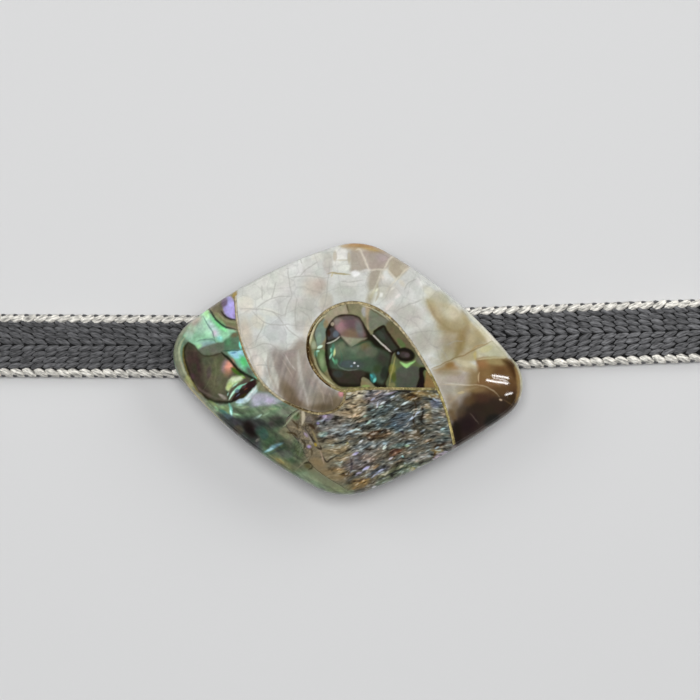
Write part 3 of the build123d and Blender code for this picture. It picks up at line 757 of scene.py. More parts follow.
    stroke(c, [(448, 404), (454, 398), (461, 393), (469, 389), (478, 387)], (170, 154, 122), 2.4, 0.5, 0.3,
         2)
    stroke(c, [(441, 384), (452, 384.5), (466, 385), (478, 385), (488, 387.5), (496, 393), (500, 397)],
         (204, 190, 160), 0.9, 0.7, 0.15)
    stroke(c, [(443, 382.5), (456, 384), (470, 385)], (214, 208, 192), 1.0, 0.7)
    stroke(c, [(503, 399), (509, 403), (514, 406.5)], (120, 96, 70), 0.9, 0.6)
    stroke(c, [(479.5, 372), (478.3, 377), (479, 383)], (212, 190, 152), 1.2, 0.85)
    stroke(c, [(470, 413), (474, 418), (479, 424)], (112, 102, 92), 0.8, 0.7)
    stroke(c, [(499.5, 399), (502.5, 400.7)], (220, 196, 168), 1.6, 0.9)
    stroke(c, [(477, 359.5), (486, 358.5), (496, 357.8), (508, 357.5)], (206, 198, 160), 1.4, 0.7, 0.15)
    stroke(c, [(515, 366), (518.5, 378), (519, 391), (515.5, 403)], (152, 124, 72), 3.2, 0.85, 0.2, 1.6)
    stroke(c, [(512, 358), (519, 366), (522.5, 376), (524, 386), (523, 396), (518, 406)], (196, 194, 162),
         5.4, 0.95, 0.15, 1.2)
    stroke(c, [(519, 364), (524, 374), (526, 386), (525, 396), (521, 404)], (200, 212, 200), 2.4, 0.85, 0.2,
         1.2)
    stroke(c, [(514, 410), (506, 419), (494, 428), (482, 435)], (112, 96, 82), 1.8, 0.6, 0.2)
    # Fine cracks, on pieces that each have their own tone
    piece, border = facets(c["x"], c["y"], 19.0, 71)
    flake, flakeBorder = facets(c["x"], c["y"], 8.5, 81)
    pale = softStep((c["colour"].min(1) - 120) / 60)
    tone = 1 + pale * (0.06 * (piece - 0.5) + 0.04 * (flake - 0.5))
    tone -= pale * (0.05 * softStep(1 - border / 0.8) + 0.012 * softStep(1 - flakeBorder / 0.7))
    c["colour"] *= tone[:, None]
    addNacre(c, 33, 0.07, 13.0, 2.0)
    streak = cloud(c["x"] + 0.3 * (c["y"] - 360), 0.15 * c["y"], 3.4, 73, 2)
    veiled = softStep((c["y"] - 346) / 10) * softStep((348 - c["x"]) / 8)
    c["colour"] *= (1 + 0.13 * veiled * streak)[:, None]
    for line in (
        [(240, 309), (255, 309), (270, 311), (279, 315), (285, 316)],
        [(256, 309), (262, 304), (270, 299.5), (281, 296.5), (292, 296.5)],
        [(252, 311), (258, 317), (264, 321.5), (272, 324.5), (282, 325), (290, 324)],
        [(264, 321), (262, 329), (258, 336), (255, 345)],
        [(242, 348), (252, 348), (258, 345.5), (264, 343.5), (272, 345), (277, 349), (282, 355)],
        [(255, 366), (262, 365), (270, 366), (279, 367)],
        [(283, 352), (290, 352), (297, 351), (304, 348)],
        [(281, 352), (287, 361), (295, 371)],
        [(289, 278), (300, 276.5), (312, 276), (322, 278), (330, 277)],
        [(288, 268), (289, 279), (292, 296)],
        [(262, 285), (262, 300)],
        [(276, 282), (272, 299)],
        [(292, 296), (287, 307), (285, 316)],
        [(299, 256), (302, 264)],
        [(297, 297), (295, 318), (297, 330)],
        [(330, 262), (328, 280), (326, 300), (321, 314)],
        [(285, 325), (290, 331), (300, 338)],
        [(299, 309), (308, 316), (311, 323)],
        [(408, 335), (420, 332), (432, 331), (446, 331)],
        [(429, 344), (438, 348), (444, 353), (448, 359)],
        [(396, 311), (408, 305), (422, 300)],
        [(404, 290), (408, 283), (417, 279)],
        [(300, 276), (308, 268), (318, 262)],
        [(340, 281), (350, 282), (364, 280)],
        [(272, 311), (281, 320), (284, 325)],
        [(446, 345), (456, 341), (463, 341)],
    ):
        stroke(c, line, (160, 158, 150), 0.8, 0.6, 0.12, 0.7)
    # A thin darker line along the upper-left rim, painted shade at the plate's edge; then a tan line inside the
    # seam on the left
    stroke(c, [(238, 290), (262, 277), (290, 262), (312, 254), (330, 248.5)], (178, 178, 172), 1.6, 0.7,
         0.1)
    stroke(c, [(242, 332), (248, 350), (256, 370), (268, 388), (284, 402), (302, 409)], (176, 166, 146),
         1.4, 0.5, 0.1)
    return c["colour"] * panelTones["white_shell"]


def brokenJoint(c):
    # Broken tan shell where the left and the striped panels meet, painted alike on both
    area(c, [(286, 424), (292, 418), (301, 409), (312, 413), (314, 424), (318, 436), (326, 452), (334, 462),
         (322, 470), (310, 470), (303, 462), (304, 450), (298, 438), (290, 434)], (126, 114, 90), 4.5, 0.7)
    stroke(c, [(306, 464), (314, 474), (326, 481), (340, 487), (352, 491)], (114, 116, 88), 9, 0.75, 0.1, 5)
    stroke(c, [(310, 460), (320, 468), (332, 475), (346, 482)], (128, 114, 86), 8, 0.75, 0.2, 5)
    spot(c, (296, 416), (5, 5), (98, 124, 86), 0.85, -35, 1.0)
    spot(c, (309, 419), (6, 5), (112, 104, 98), 0.8, 20, 1.0)
    spot(c, (300, 448), (5, 8), (96, 104, 80), 0.8, -25, 1.0)
    spot(c, (318, 462), (9, 5), (134, 116, 84), 0.8, 20, 1.0)
    fleck, border = facets(c["x"], c["y"], 3.4, 91)
    inside = softStep(1.2 - np.hypot((c["x"] - 305) / 17, (c["y"] - 436) / 31))
    c["colour"] *= (1 + inside * (0.34 * (fleck - 0.45) - 0.3 * softStep(1 - border / 0.5)))[:, None]
    stroke(c, [(300, 410), (293, 416), (287, 423), (283, 427)], (152, 158, 128), 1.6, 0.85, 0.2)
    stroke(c, [(302.5, 408), (303.5, 416), (303, 421), (302, 425)], (198, 188, 162), 3.4, 0.9, 0.35, 1.0)
    for line, tone, width in (
        ([(297, 417), (299, 413)], (60, 56, 34), 1.6),
        ([(292, 420), (296, 423.5), (299, 424)], (56, 44, 26), 1.6),
        ([(297, 424), (298, 430)], (72, 58, 36), 1.4),
        ([(287, 432), (294, 433.5), (298, 437.5)], (54, 42, 22), 1.8),
        ([(303.5, 427), (308, 433.5), (312.5, 439), (316, 444)], (28, 22, 18), 1.9),
        ([(308, 424), (312, 426), (315, 429.5)], (48, 34, 20), 3.0),
        ([(301, 439), (305, 444), (304, 449)], (58, 50, 34), 2.0),
        ([(310, 447), (312, 452), (311, 456)], (74, 64, 46), 1.5),
        ([(316, 447), (321, 449), (320, 445)], (36, 28, 20), 1.8),
        ([(322.5, 455.4), (326.5, 461.7), (331, 459), (337, 455.4)], (34, 26, 20), 1.4),
        ([(303.5, 463.4), (308, 462.6), (312, 464.4)], (40, 34, 20), 1.8),
        ([(312.4, 465), (312, 468), (308.5, 469.5)], (44, 38, 24), 1.5),
        ([(299, 440), (301, 447), (299, 456)], (112, 118, 96), 1.4),
        ([(304, 428), (309, 436), (314, 446)], (158, 150, 138), 1.2),
        ([(312, 430), (315, 436), (318, 443)], (148, 134, 92), 1.4),
        ([(320, 450), (323, 459), (324, 464)], (172, 150, 130), 1.2),
        ([(304, 432), (308, 437)], (164, 148, 170), 2.2),
        ([(296, 470), (302, 464), (310, 456)], (132, 128, 104), 1.0),
        ([(288, 427), (294, 427), (300, 430)], (154, 140, 112), 1.2),
    ):
        stroke(c, line, tone, width, 0.85, 0.3, 0.9)
    spot(c, (315.5, 444.5), (2.4, 1.8), (164, 140, 56), 0.9, 60, 0.8)
    spot(c, (309, 446.5), (2.6, 2.0), (166, 150, 196), 0.9, 0, 0.9)
    spot(c, (308, 466), (4.5, 3.0), (82, 74, 44), 0.8, 15, 1.0)


def stripedAbalone(x, y):
    c = newCanvas(x, y, (102, 98, 86), 0.3)
    px, py = c["x"], c["y"]
    # Broad tones under the stripes
    area(c, [(338, 402), (346, 392), (366, 389), (370, 400), (368, 412), (352, 420), (330, 418),
         (334, 410)], (138, 128, 106), 4)
    spot(c, (336, 428), (22, 16), (112, 110, 104), 0.9)
    spot(c, (326, 417), (9, 5), (116, 106, 118), 0.85, -10)
    spot(c, (330, 454), (26, 17), (132, 123, 98), 0.9, -8)
    spot(c, (330, 474), (22, 7), (136, 116, 80), 0.9)
    spot(c, (313, 425), (9, 12), (84, 76, 66), 0.9)
    spot(c, (398, 412), (30, 24), (85, 90, 85), 0.95, -15)
    spot(c, (376, 414), (12, 20), (96, 104, 98), 0.75)
    spot(c, (402, 420), (15, 11), (80, 86, 90), 0.8)
    spot(c, (376, 397), (14, 9), (108, 106, 110), 0.9)
    spot(c, (378, 435), (15, 5), (76, 64, 50), 0.8, -12)
    spot(c, (419, 432), (9, 11), (82, 72, 56), 0.85)
    spot(c, (412, 397), (12, 5), (96, 78, 50), 0.8, 8)
    spot(c, (408, 444), (12, 6), (76, 80, 74), 0.8)
    spot(c, (429, 412), (5, 12), (118, 110, 88), 0.9)
    area(c, [(431, 398), (440, 400), (446, 412), (450, 430), (450, 446), (440, 447), (433, 438),
         (432, 416)], (108, 108, 100), 2.5, 0.95)
    spot(c, (435, 403), (6, 6), (104, 104, 116), 0.8)
    spot(c, (445, 432), (5, 9), (94, 106, 100), 0.85)
    spot(c, (398, 446), (9, 4), (96, 108, 100), 0.8, -12)
    spot(c, (370, 447), (22, 7), (112, 116, 114), 0.85, -10)
    spot(c, (417, 459), (16, 5), (128, 128, 121), 0.9, -18)
    spot(c, (360, 462), (18, 10), (100, 92, 88), 0.85, -15)
    spot(c, (380, 470), (12, 5), (78, 76, 76), 0.8, -18)
    spot(c, (395, 453), (7, 3), (104, 78, 62), 0.8, -20)
    spot(c, (399, 465), (9, 4), (64, 62, 50), 0.85, -20)
    spot(c, (358, 484), (15, 6), (124, 106, 72), 0.9, -20)
    area(c, [(376, 478), (390, 470), (404, 464), (420, 462), (436, 458), (436, 464), (418, 472), (398, 480),
         (378, 487)], (110, 116, 92), 2.5, 0.95)
    spot(c, (404, 472), (12, 3), (124, 130, 108), 0.7, -20)
    # Single marks, which the layers below break up: the light strokes are painted glints, the dark ones dark
    # lines in the shell
    for line, tone, width in (
        ([(380, 404), (386, 401)], (214, 222, 224), 2.0),
        ([(400, 406), (405, 403), (409, 401)], (206, 220, 218), 1.8),
        ([(390, 398), (395, 395)], (196, 204, 224), 1.8),
        ([(368, 411), (375, 409)], (170, 196, 190), 1.6),
        ([(408, 421), (414, 416), (420, 411)], (196, 208, 226), 2.0),
        ([(377, 408), (384, 405)], (182, 206, 196), 1.8),
        ([(395, 400), (399, 399)], (228, 236, 240), 1.4),
        ([(350, 432), (356, 429), (362, 431)], (190, 214, 214), 1.8),
        ([(345, 434), (352, 430)], (176, 196, 204), 1.4),
        ([(383, 450), (386, 445)], (226, 238, 226), 3.2),
        ([(360, 442), (362, 440)], (226, 234, 238), 1.8),
        ([(366, 424), (371, 420)], (176, 206, 190), 2.2),
        ([(362, 417), (368, 415)], (170, 200, 186), 1.6),
        ([(371, 478), (378, 472), (386, 468)], (190, 196, 220), 1.8),
        ([(362, 470), (370, 466)], (182, 178, 214), 2.6),
        ([(420, 432), (426, 429)], (184, 190, 190), 1.8),
        ([(440, 430), (445, 428)], (176, 206, 206), 1.8),
        ([(389, 460), (393, 456)], (200, 196, 204), 1.8),
        ([(402, 455), (404, 459)], (150, 196, 184), 1.8),
        ([(355, 476), (364, 471)], (178, 172, 196), 1.4),
        ([(384, 395), (391, 393), (398, 391)], (160, 156, 178), 1.8),
        ([(352, 455), (359, 452)], (150, 146, 186), 2.4),
        ([(372, 488), (376, 486)], (222, 222, 224), 1.6),
        ([(433, 400), (438, 402)], (190, 190, 206), 2.0),
        ([(424, 404), (430, 407)], (176, 172, 160), 1.6),
        ([(404, 446), (410, 445)], (150, 186, 156), 2.2),
        ([(378, 402), (377, 408)], (160, 170, 190), 1.6),
        ([(364, 392), (374, 390), (384, 390)], (190, 182, 170), 1.6),
    ):
        stroke(c, line, tone, width, 0.85, 0.35, 0.7)
    for line, tone, width in (
        ([(366, 436), (373, 432), (382, 431), (391, 429)], (38, 26, 16), 2.6),
        ([(366, 438), (371, 440), (375, 435)], (48, 36, 28), 1.6),
        ([(413, 398), (416, 408), (413, 420), (417, 428)], (52, 44, 32), 1.6),
        ([(421, 404), (423, 412), (421, 420), (425, 425)], (44, 36, 26), 2.2),
        ([(389, 454), (394, 450), (402, 450)], (64, 38, 28), 2.6),
        ([(433, 447), (440, 445), (447, 443)], (34, 26, 18), 2.4),
        ([(436, 451), (434, 458)], (78, 54, 24), 2.6),
        ([(350, 456), (352, 464), (350, 474)], (66, 60, 62), 2.0),
        ([(339, 474), (346, 475), (350, 471)], (70, 52, 32), 2.4),
        ([(404, 434), (400, 430)], (48, 44, 50), 2.4),
        ([(425, 443), (432, 440)], (50, 42, 28), 2.2),
        ([(354, 482), (366, 478), (378, 472)], (70, 60, 56), 1.6),
        ([(398, 391), (408, 392), (416, 396), (410, 395)], (44, 32, 20), 2.0),
        ([(386, 388), (396, 387.5), (408, 389), (420, 390.5)], (84, 64, 36), 2.0),
        ([(364, 488), (376, 481), (392, 473), (404, 467)], (66, 66, 60), 1.8),
    ):
        stroke(c, line, tone, width, 0.85, 0.25)
    stroke(c, [(344, 400), (352, 396), (362, 390)], (190, 182, 156), 1.6, 0.7)
    area(c, [(358, 390), (366, 390), (362, 396), (357, 397)], (186, 178, 154), 1.4, 0.85)
    stroke(c, [(341, 408), (350, 404), (360, 398)], (164, 152, 122), 1.6, 0.7)
    stroke(c, [(352, 490), (360, 483), (370, 478)], (146, 118, 74), 2.8, 0.7, 0.3, 1.2)
    stroke(c, [(372, 470), (380, 464)], (136, 106, 66), 2.2, 0.65, 0.3, 1.2)
    stroke(c, [(392, 458), (396, 452), (404, 449)], (124, 92, 74), 2.2, 0.55, 0.3, 1.2)
    area(c, [(411, 392), (424, 390.5), (436, 393), (440, 398), (430, 397), (420, 396)], (132, 112, 72), 2.2,
         0.85)
    stroke(c, [(432, 460), (440, 455), (449, 451)], (176, 160, 176), 3.0, 0.9, 0.3, 1.2)
    stroke(c, [(430, 450), (438, 451), (446, 449)], (138, 114, 66), 2.2, 0.75, 0.3, 1.1)
    spot(c, (413, 469), (2.6, 2.2), (150, 134, 60), 0.85)
    spot(c, (347, 443), (2.2, 1.4), (160, 148, 98), 0.8)
    spot(c, (325, 416), (3, 2), (168, 158, 190), 0.8, -25)
    spot(c, (318, 423), (2, 1.6), (150, 140, 190), 0.8)
    spot(c, (323, 434), (6, 3), (140, 162, 152), 0.85, -8)
    spot(c, (315, 437), (3.6, 1.6), (64, 72, 70), 0.8, -12)
    stroke(c, [(310, 411), (322, 413), (334, 411), (341, 406)], (84, 70, 48), 2.0, 0.85, 0.15)
    # The thin layers themselves, rising to the right: noise drawn out along them, with lit and dark flecks
    rise = np.interp(px, (300, 340, 370, 415, 430, 452), (0, 6, 17, 35, 40, 41))
    rise = rise * np.interp(py, (388, 470), (0.75, 1.15))
    run = py + rise + 2.4 * cloud(px, py, 22.0, 41) + 1.0 * cloud(px, py, 5.0, 42)
    along = (px - 0.35 * py) * 0.25
    layer = cloud(along, run, 2.6, 43, 2)
    fine = cloud(along * 1.2, run + 0.5 * cloud(px, py, 3.0, 45), 1.3, 53, 2)
    fleck = cloud(along * 1.6, run, 1.2, 63, 1)
    patch = cloud(along * 2, run, 9.0, 46, 2)
    hue = cloud(along * 1.6, run, 4.2, 48, 2)[:, None]
    cool = cloud(along * 1.6, run, 3.4, 58, 2)[:, None]
    strength = np.interp(px, (300, 318, 350, 440, 452), (0.4, 0.75, 1.0, 1.0, 0.8))
    strength = strength * np.interp(py, (388, 394, 455, 478, 492), (0.8, 1.0, 1.0, 0.85, 0.5))
    colour = c["colour"]
    colour *= panelTones["striped_abalone"]
    colour *= (1 + strength * (0.42 * layer + 0.5 * fine + 0.25 * fleck + 0.16 * patch))[:, None]
    colour += strength[:, None] * (hue * np.array((6, -1, -4)) + cool * np.array((-8, 1, 10)))
    glint = strength * softStep((0.55 * layer + 0.75 * fine + 0.45 * fleck - 0.34) / 0.42)
    glintTone = np.array((186, 190, 186)) + hue * np.array((16, 2, -8)) + cool * np.array((-40, 0, 26))
    colour += (glintTone - colour) * (0.62 * glint)[:, None]
    pit = strength * softStep((-0.6 * layer - 0.7 * fine - 0.35 * fleck - 0.36) / 0.4)
    colour += (np.array((34, 28, 20)) - colour) * (0.6 * pit)[:, None]
    # Painted glints: a few small bright highlights put back over the layers
    for at, tone in (
        ((383, 402.5), (216, 226, 228)),
        ((404.5, 403.5), (208, 222, 220)),
        ((412, 418), (200, 212, 230)),
        ((418, 412.5), (196, 210, 228)),
        ((381, 406.5), (186, 210, 198)),
        ((352, 431), (186, 206, 212)),
        ((384.5, 447.5), (224, 238, 226)),
        ((361, 441), (228, 234, 238)),
        ((369, 422), (180, 208, 192)),
        ((366, 468), (186, 180, 216)),
        ((381, 470), (192, 198, 222)),
        ((442.5, 429), (178, 208, 208)),
        ((391, 458), (204, 200, 208)),
        ((358, 473), (184, 178, 202)),
        ((374, 487), (222, 222, 224)),
        ((396, 409), (190, 206, 222)),
        ((373, 399), (176, 182, 214)),
        ((437, 447.5), (170, 188, 196)),
    ):
        spot(c, at, (3.2, 1.0), tone, 0.85, -27, 0.9)
    brokenJoint(c)
    return c["colour"]


seamLooks = {
    "leastWear": 0.4,
    "wornFrom": 290,  # photo pixels from the left
    "wornOver": 20,
    "grain": 0.24,
    "speck": 0.14,
    "brightFleck": (226, 214, 168),
}


def goldSeam(x, y):
    c = newCanvas(x, y, (158, 142, 104), 0.2)
    # Left of the white shell: tan outside, a dark line against the shell
    arc = [(237, 292), (237.5, 310), (240, 328), (245, 345), (252, 362), (261, 378), (272, 390), (285, 400.5)]
    stroke(c, arc, (216, 208, 188), 4, 0.9, 0.02, 0.6)
    stroke(c, [(ax + 0.4, ay - 0.2) for ax, ay in arc], (92, 78, 56), 0.9, 0.7, 0.05, 0.5)
    stroke(c, [(251, 366), (262, 381.5), (274, 393), (284, 401.5)], (190, 180, 146), 1.4, 0.85, 0.3, 0.7)
    stroke(c, [(284, 401), (300, 408), (318, 411.6), (334, 409.5), (343, 403)], (82, 66, 42), 1.5, 0.85,
         0.1, 0.7)
    stroke(c, [(286, 404), (302, 411), (318, 414), (334, 412)], (178, 162, 120), 1.0, 0.7, 0.2, 0.6)
    # Round the eye
    stroke(c, [(319, 320), (312, 332), (309, 348), (311, 364), (319, 377.5), (331, 386.5)], (112, 92, 56),
         3.2, 0.85, 0.1)
    stroke(c, [(313, 327), (308.5, 340), (308, 356), (312, 370), (322, 381.5), (334, 389)], (56, 38, 16),
         2.4, 0.9, 0.15, 0.6)
    stroke(c, [(320, 317), (334, 307), (350, 303), (366, 306), (378, 311)], (176, 162, 126), 2.4, 0.8, 0.1)
    stroke(c, [(378, 311), (394, 323), (408, 338), (420, 356), (430, 374), (438, 390)], (206, 194, 160),
         2.4, 0.85, 0.05)
    stroke(c, [(384, 316), (398, 328.5), (410, 343), (421, 361), (430, 377)], (104, 86, 54), 0.9, 0.6, 0.1,
         0.5)
    stroke(c, [(330, 387), (346, 391), (366, 388), (390, 387), (412, 389), (436, 390)], (158, 148, 98), 2.6,
         0.85, 0.05)
    stroke(c, [(430, 374), (438, 390), (445, 408), (450, 428), (454, 448)], (160, 144, 88), 5, 0.9, 0.05)
    stroke(c, [(437, 389), (442, 398), (447, 412), (451, 432), (454, 446)], (208, 196, 138), 1.3, 0.8, 0.1)
    # Worn metal: uneven in tone, with bright and dark specks, and least worn at the left
    grain = cloud(x, y, 2.6, 51)
    speck = cloud(x, y, 1.6, 54, 2)
    least = seamLooks["leastWear"]
    worn = least + (1 - least) * softStep((x - seamLooks["wornFrom"]) / seamLooks["wornOver"])
    c["colour"] *= (1 + worn * (seamLooks["grain"] * grain + seamLooks["speck"] * speck))[:, None]
    pale = softStep((speck - 0.3) / 0.3)[:, None]
    c["colour"] += (np.array(seamLooks["brightFleck"]) - c["colour"]) * 0.5 * pale
    return c["colour"]


# Photo pixels from the left at which the panel beside the rim changes
rimBorders = {"striped": 354, "whiteBelow": 452, "whiteAbove": 237}


def rimColour(x, y):
    left = leftAbalone(x, y)
    striped = stripedAbalone(x, y)
    white = whiteShell(x, y)
    lower = y > photoCentre[1]
    # Which panel each place on the rim lies beside, with soft changes between them
    toStriped = softStep((x - rimBorders["striped"]) / 6 + 0.5)[:, None]
    toWhite = softStep((x - rimBorders["whiteBelow"]) / 3 + 0.5)[:, None]
    below = left + (striped - left) * toStriped
    below = below + (white - below) * toWhite
    toShell = softStep((x - rimBorders["whiteAbove"]) / 3 + 0.5)[:, None]
    above = left + (white - left) * toShell
    colour = np.where(lower[:, None], below, above)
    c = newCanvas(x, y, (0, 0, 0), 0.2)
    c["colour"] = colour
    # Lighter and darker bands along the lower rim: the edge's own tone, with painted highlight and shade of its
    # rounding
    stroke(c, [(184, 379), (192, 391), (203, 404), (216, 417), (230, 430)], (186, 172, 120), 2.6, 0.85, 0.2)
    stroke(c, [(228, 430), (244, 444), (262, 458), (280, 469)], (96, 92, 66), 2.6, 0.8, 0.2)
    stroke(c, [(262, 458), (282, 470), (300, 480)], (134, 130, 86), 2.4, 0.8, 0.2)
    stroke(c, [(298, 481), (318, 491), (334, 496), (354, 495), (366, 492)], (128, 156, 122), 3, 0.85, 0.2)
    stroke(c, [(364, 492), (384, 486), (404, 478), (424, 470)], (116, 116, 88), 2.6, 0.8, 0.2)
    return c["colour"]


# Fine meshes for the plate
plate = {
    "cell": 0.088e-3,  # side of a painted cell on the panels
    "seamCell": 0.06e-3,
    "domeRadius": 120e-3,
    "domeTop": 8.6e-3,
    "rimRound": 1.1e-3,
    "rimWidth": 0.614e-3,
    "glueFill": 0.02e-3,  # how far the panels reach out over the glue line round them
    "shellThickness": 0.8e-3,
    "backHeight": 4.05e-3,
    "backRound": 0.4e-3,
    "edgePoints": 420,  # on the outline that distances are measured from
    "rimPoints": 1500,
    "rimSteps": 10,
    "halfSize": (25.4e-3, 18.3e-3),
    "flatShare": 0.55,  # inside this share of the lozenge the rim's rounding can't reach
    "floorGap": 0.02e-3,  # pocket floor under the shell
    "floorSink": 0.4e-3,
    "centreShare": 0.001,  # size of the last row of a face that closes at the centre
    "backTone": (78, 66, 46),  # dark glued side and back
    "pocketShade": 0.3,
    "coatLift": 0.0055,
}


def linear(colour):
    colour = np.clip(np.asarray(colour, float) / 255.0, 0, 1)
    return np.where(colour <= 0.04045, colour / 12.92, ((colour + 0.055) / 1.055) ** 2.4)


def ringFaces(rings, count, joined=False):
    # Four-sided faces between neighbouring rings of points, and on to the first ring again if joined
    faces = []
    for ring in range(rings if joined else rings - 1):
        here = ring * count
        there = (ring + 1) % rings * count
        for i in range(count):
            j = (i + 1) % count
            faces.append((here + i, here + j, there + j, there + i))
    return faces


def nodeFaces(node):
    # Corner places, and the faces as tuples of merged corner numbers
    mesh = nodes[node].data
    places = np.zeros(len(mesh.vertices) * 3)
    mesh.vertices.foreach_get("co", places)
    places = places.reshape(-1, 3)
    merged = {}
    number = [merged.setdefault(tuple(np.round(p * 1e6).astype(int)), len(merged)) for p in places]
    corners = np.array(list(merged), float) * 1e-6
    faces = [(tuple(number[v] for v in f.vertices), f.normal.copy(), f.center.copy()) for f in mesh.polygons]
    return corners, faces


def chainLoops(edges):
    following = dict(edges)
    loops = []
    while following:
        start, at = following.popitem()
        loop = [start]
        while at != start and at in following:
            loop.append(at)
            at = following.pop(at)
        loops.append(loop)
    return loops


def topOutlines(node):
    # The outlines of a node's upper face, seen from above
    corners, faces = nodeFaces(node)
    edges = set()
    for face, normal, _ in faces:
        if normal.z > 0.25:
            edges |= set(zip(face, face[1:] + face[:1]))
    outer = [(a, b) for a, b in edges if (b, a) not in edges]
    return [corners[loop][:, :2] for loop in chainLoops(outer) if len(loop) > 2]


def plateOutline():
    # The plate's widest outline, from the base plate's own side wall
    corners, faces = nodeFaces("base_plate")
    found = set()
    for face, normal, centre in faces:
        outward = normal.x * centre.x + normal.y * centre.y
        if abs(normal.z) < 0.05 and outward > 0.4 * math.hypot(centre.x, centre.y):
            found |= set(face)
    ring = np.unique(np.round(corners[sorted(found)][:, :2], 6), axis=0)
    ring = ring[np.argsort(np.arctan2(ring[:, 1], ring[:, 0]))]
    steps = np.hypot(*(np.roll(ring, -1, 0) - ring).T)
    return ring[steps > 2e-5]


def evenly(ring, count):
    closed = np.vstack([ring, ring[:1]])
    reach = np.concatenate([[0], np.cumsum(np.hypot(*np.diff(closed, axis=0).T))])
    at = np.linspace(0, reach[-1], count, endpoint=False)
    return np.stack([np.interp(at, reach, closed[:, 0]), np.interp(at, reach, closed[:, 1])], 1)


plateEdge = evenly(smoothCurve(plateOutline(), closed=True, steps=4), plate["edgePoints"])


def domeHeight(x, y):
    return plate["domeTop"] - plate["domeRadius"] + np.sqrt(plate["domeRadius"] ** 2 - x**2 - y**2)


def faceHeight(x, y):
    # The domed face, rounded down towards the plate's edge
    gap = np.full(x.shape, 1.0)
    across, up = plate["halfSize"]
    outer = (np.abs(x) / across + np.abs(y) / up) > plate["flatShare"]
    gap[outer] = np.maximum(-outlineDistance(x[outer], y[outer], plateEdge), 0)
    reach = np.maximum(plate["rimRound"] - gap, 0)
    rounded = np.sqrt(np.maximum(plate["rimRound"] ** 2 - reach**2, 0))
    return domeHeight(x, y) - plate["rimRound"] + rounded


def makeMesh(name, places, faces, smooth=True):
    mesh = bpy.data.meshes.new(name)
    mesh.from_pydata(places, [], faces)
    mesh.update()
    mesh.polygons.foreach_set("use_smooth", [smooth] * len(mesh.polygons))
    made = bpy.data.objects.new(name, mesh)
    bpy.context.scene.collection.objects.link(made)
    return made


def paintMesh(made, colour, lift=0.0):
    # Linear colour at each vertex, less the light that the polished coat adds
    layer = made.data.color_attributes.new("paint", "FLOAT_COLOR", "POINT")
    values = np.ones((len(made.data.vertices), 4), np.float32)
    values[:, :3] = np.maximum(linear(colour) - lift, 0)
    layer.data.foreach_set("color", values.ravel())


def photoPixels(x, y):
    return photoCentre[0] + x / photoScale, photoCentre[1] - y / photoScale


def makePanel(node, cell, paint):
    loops = topOutlines(node)
    low = np.min([loop.min(0) for loop in loops], 0)
    high = np.max([loop.max(0) for loop in loops], 0)
    columns, rows = np.ceil((high - low) / cell).astype(int) + 1
    gx, gy = np.meshgrid(low[0] + cell * np.arange(columns + 1), low[1] + cell * np.arange(rows + 1))
    middleX = (gx[:-1, :-1] + cell / 2).ravel()
    middleY = (gy[:-1, :-1] + cell / 2).ravel()
    inside = np.zeros(middleX.shape, bool)
    for loop in loops:
        inside ^= outlineDistance(middleX, middleY, loop) < 0
    kept = np.nonzero(inside.reshape(rows, columns))
    first = kept[0] * (columns + 1) + kept[1]
    quads = np.stack([first, first + 1, first + columns + 2, first + columns + 1], 1)
    used, quads = np.unique(quads, return_inverse=True)
    quads = quads.reshape(-1, 4)
    x = gx.ravel()[used]
    y = gy.ravel()[used]
    # Corners on the ragged border go to the nearest place on the outline
    sides = np.vstack([quads[:, [0, 1]], quads[:, [1, 2]], quads[:, [2, 3]], quads[:, [3, 0]]])
    key = np.sort(sides, 1)
    _, which, counts = np.unique(key, axis=0, return_index=True, return_counts=True)
    border = sides[which[counts == 1]]
    edgePoints = np.unique(border)
    best = np.full(len(edgePoints), 1.0)
    place = np.zeros((len(edgePoints), 2))
    for loop in loops:
        for a, b in zip(loop, np.roll(loop, -1, 0)):
            d = b - a
            lead = (x[edgePoints] - a[0]) * d[0] + (y[edgePoints] - a[1]) * d[1]
            t = np.clip(lead / max(d @ d, 1e-18), 0, 1)
            out = plate["glueFill"] / max(math.hypot(*d), 1e-9)
            px = a[0] + t * d[0] + out * d[1]
            py = a[1] + t * d[1] - out * d[0]
            gap = np.hypot(x[edgePoints] - px, y[edgePoints] - py)
            nearer = gap < best
            best = np.where(nearer, gap, best)
            place[nearer] = np.stack([px, py], 1)[nearer]
    x[edgePoints] = place[:, 0]
    y[edgePoints] = place[:, 1]
    z = faceHeight(x, y)
    # A short wall below the border
    lower = {p: len(x) + i for i, p in enumerate(edgePoints)}
    places = np.stack([x, y, z], 1)
    wall = np.stack([x[edgePoints], y[edgePoints], z[edgePoints] - plate["shellThickness"]], 1)
    skirt = [(b, a, lower[a], lower[b]) for a, b in border]
    colour = paint(*photoPixels(x, y))
    made = makeMesh(node + "_face", np.vstack([places, wall]).tolist(), quads.tolist() + skirt)
    made.data.polygons.foreach_set("use_smooth", [True] * len(quads) + [False] * len(skirt))
    paintMesh(made, np.vstack([colour, colour[edgePoints]]), plate["coatLift"])
    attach(made, "root")
    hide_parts(node)
    print(node, "faces", len(made.data.polygons))
    return made


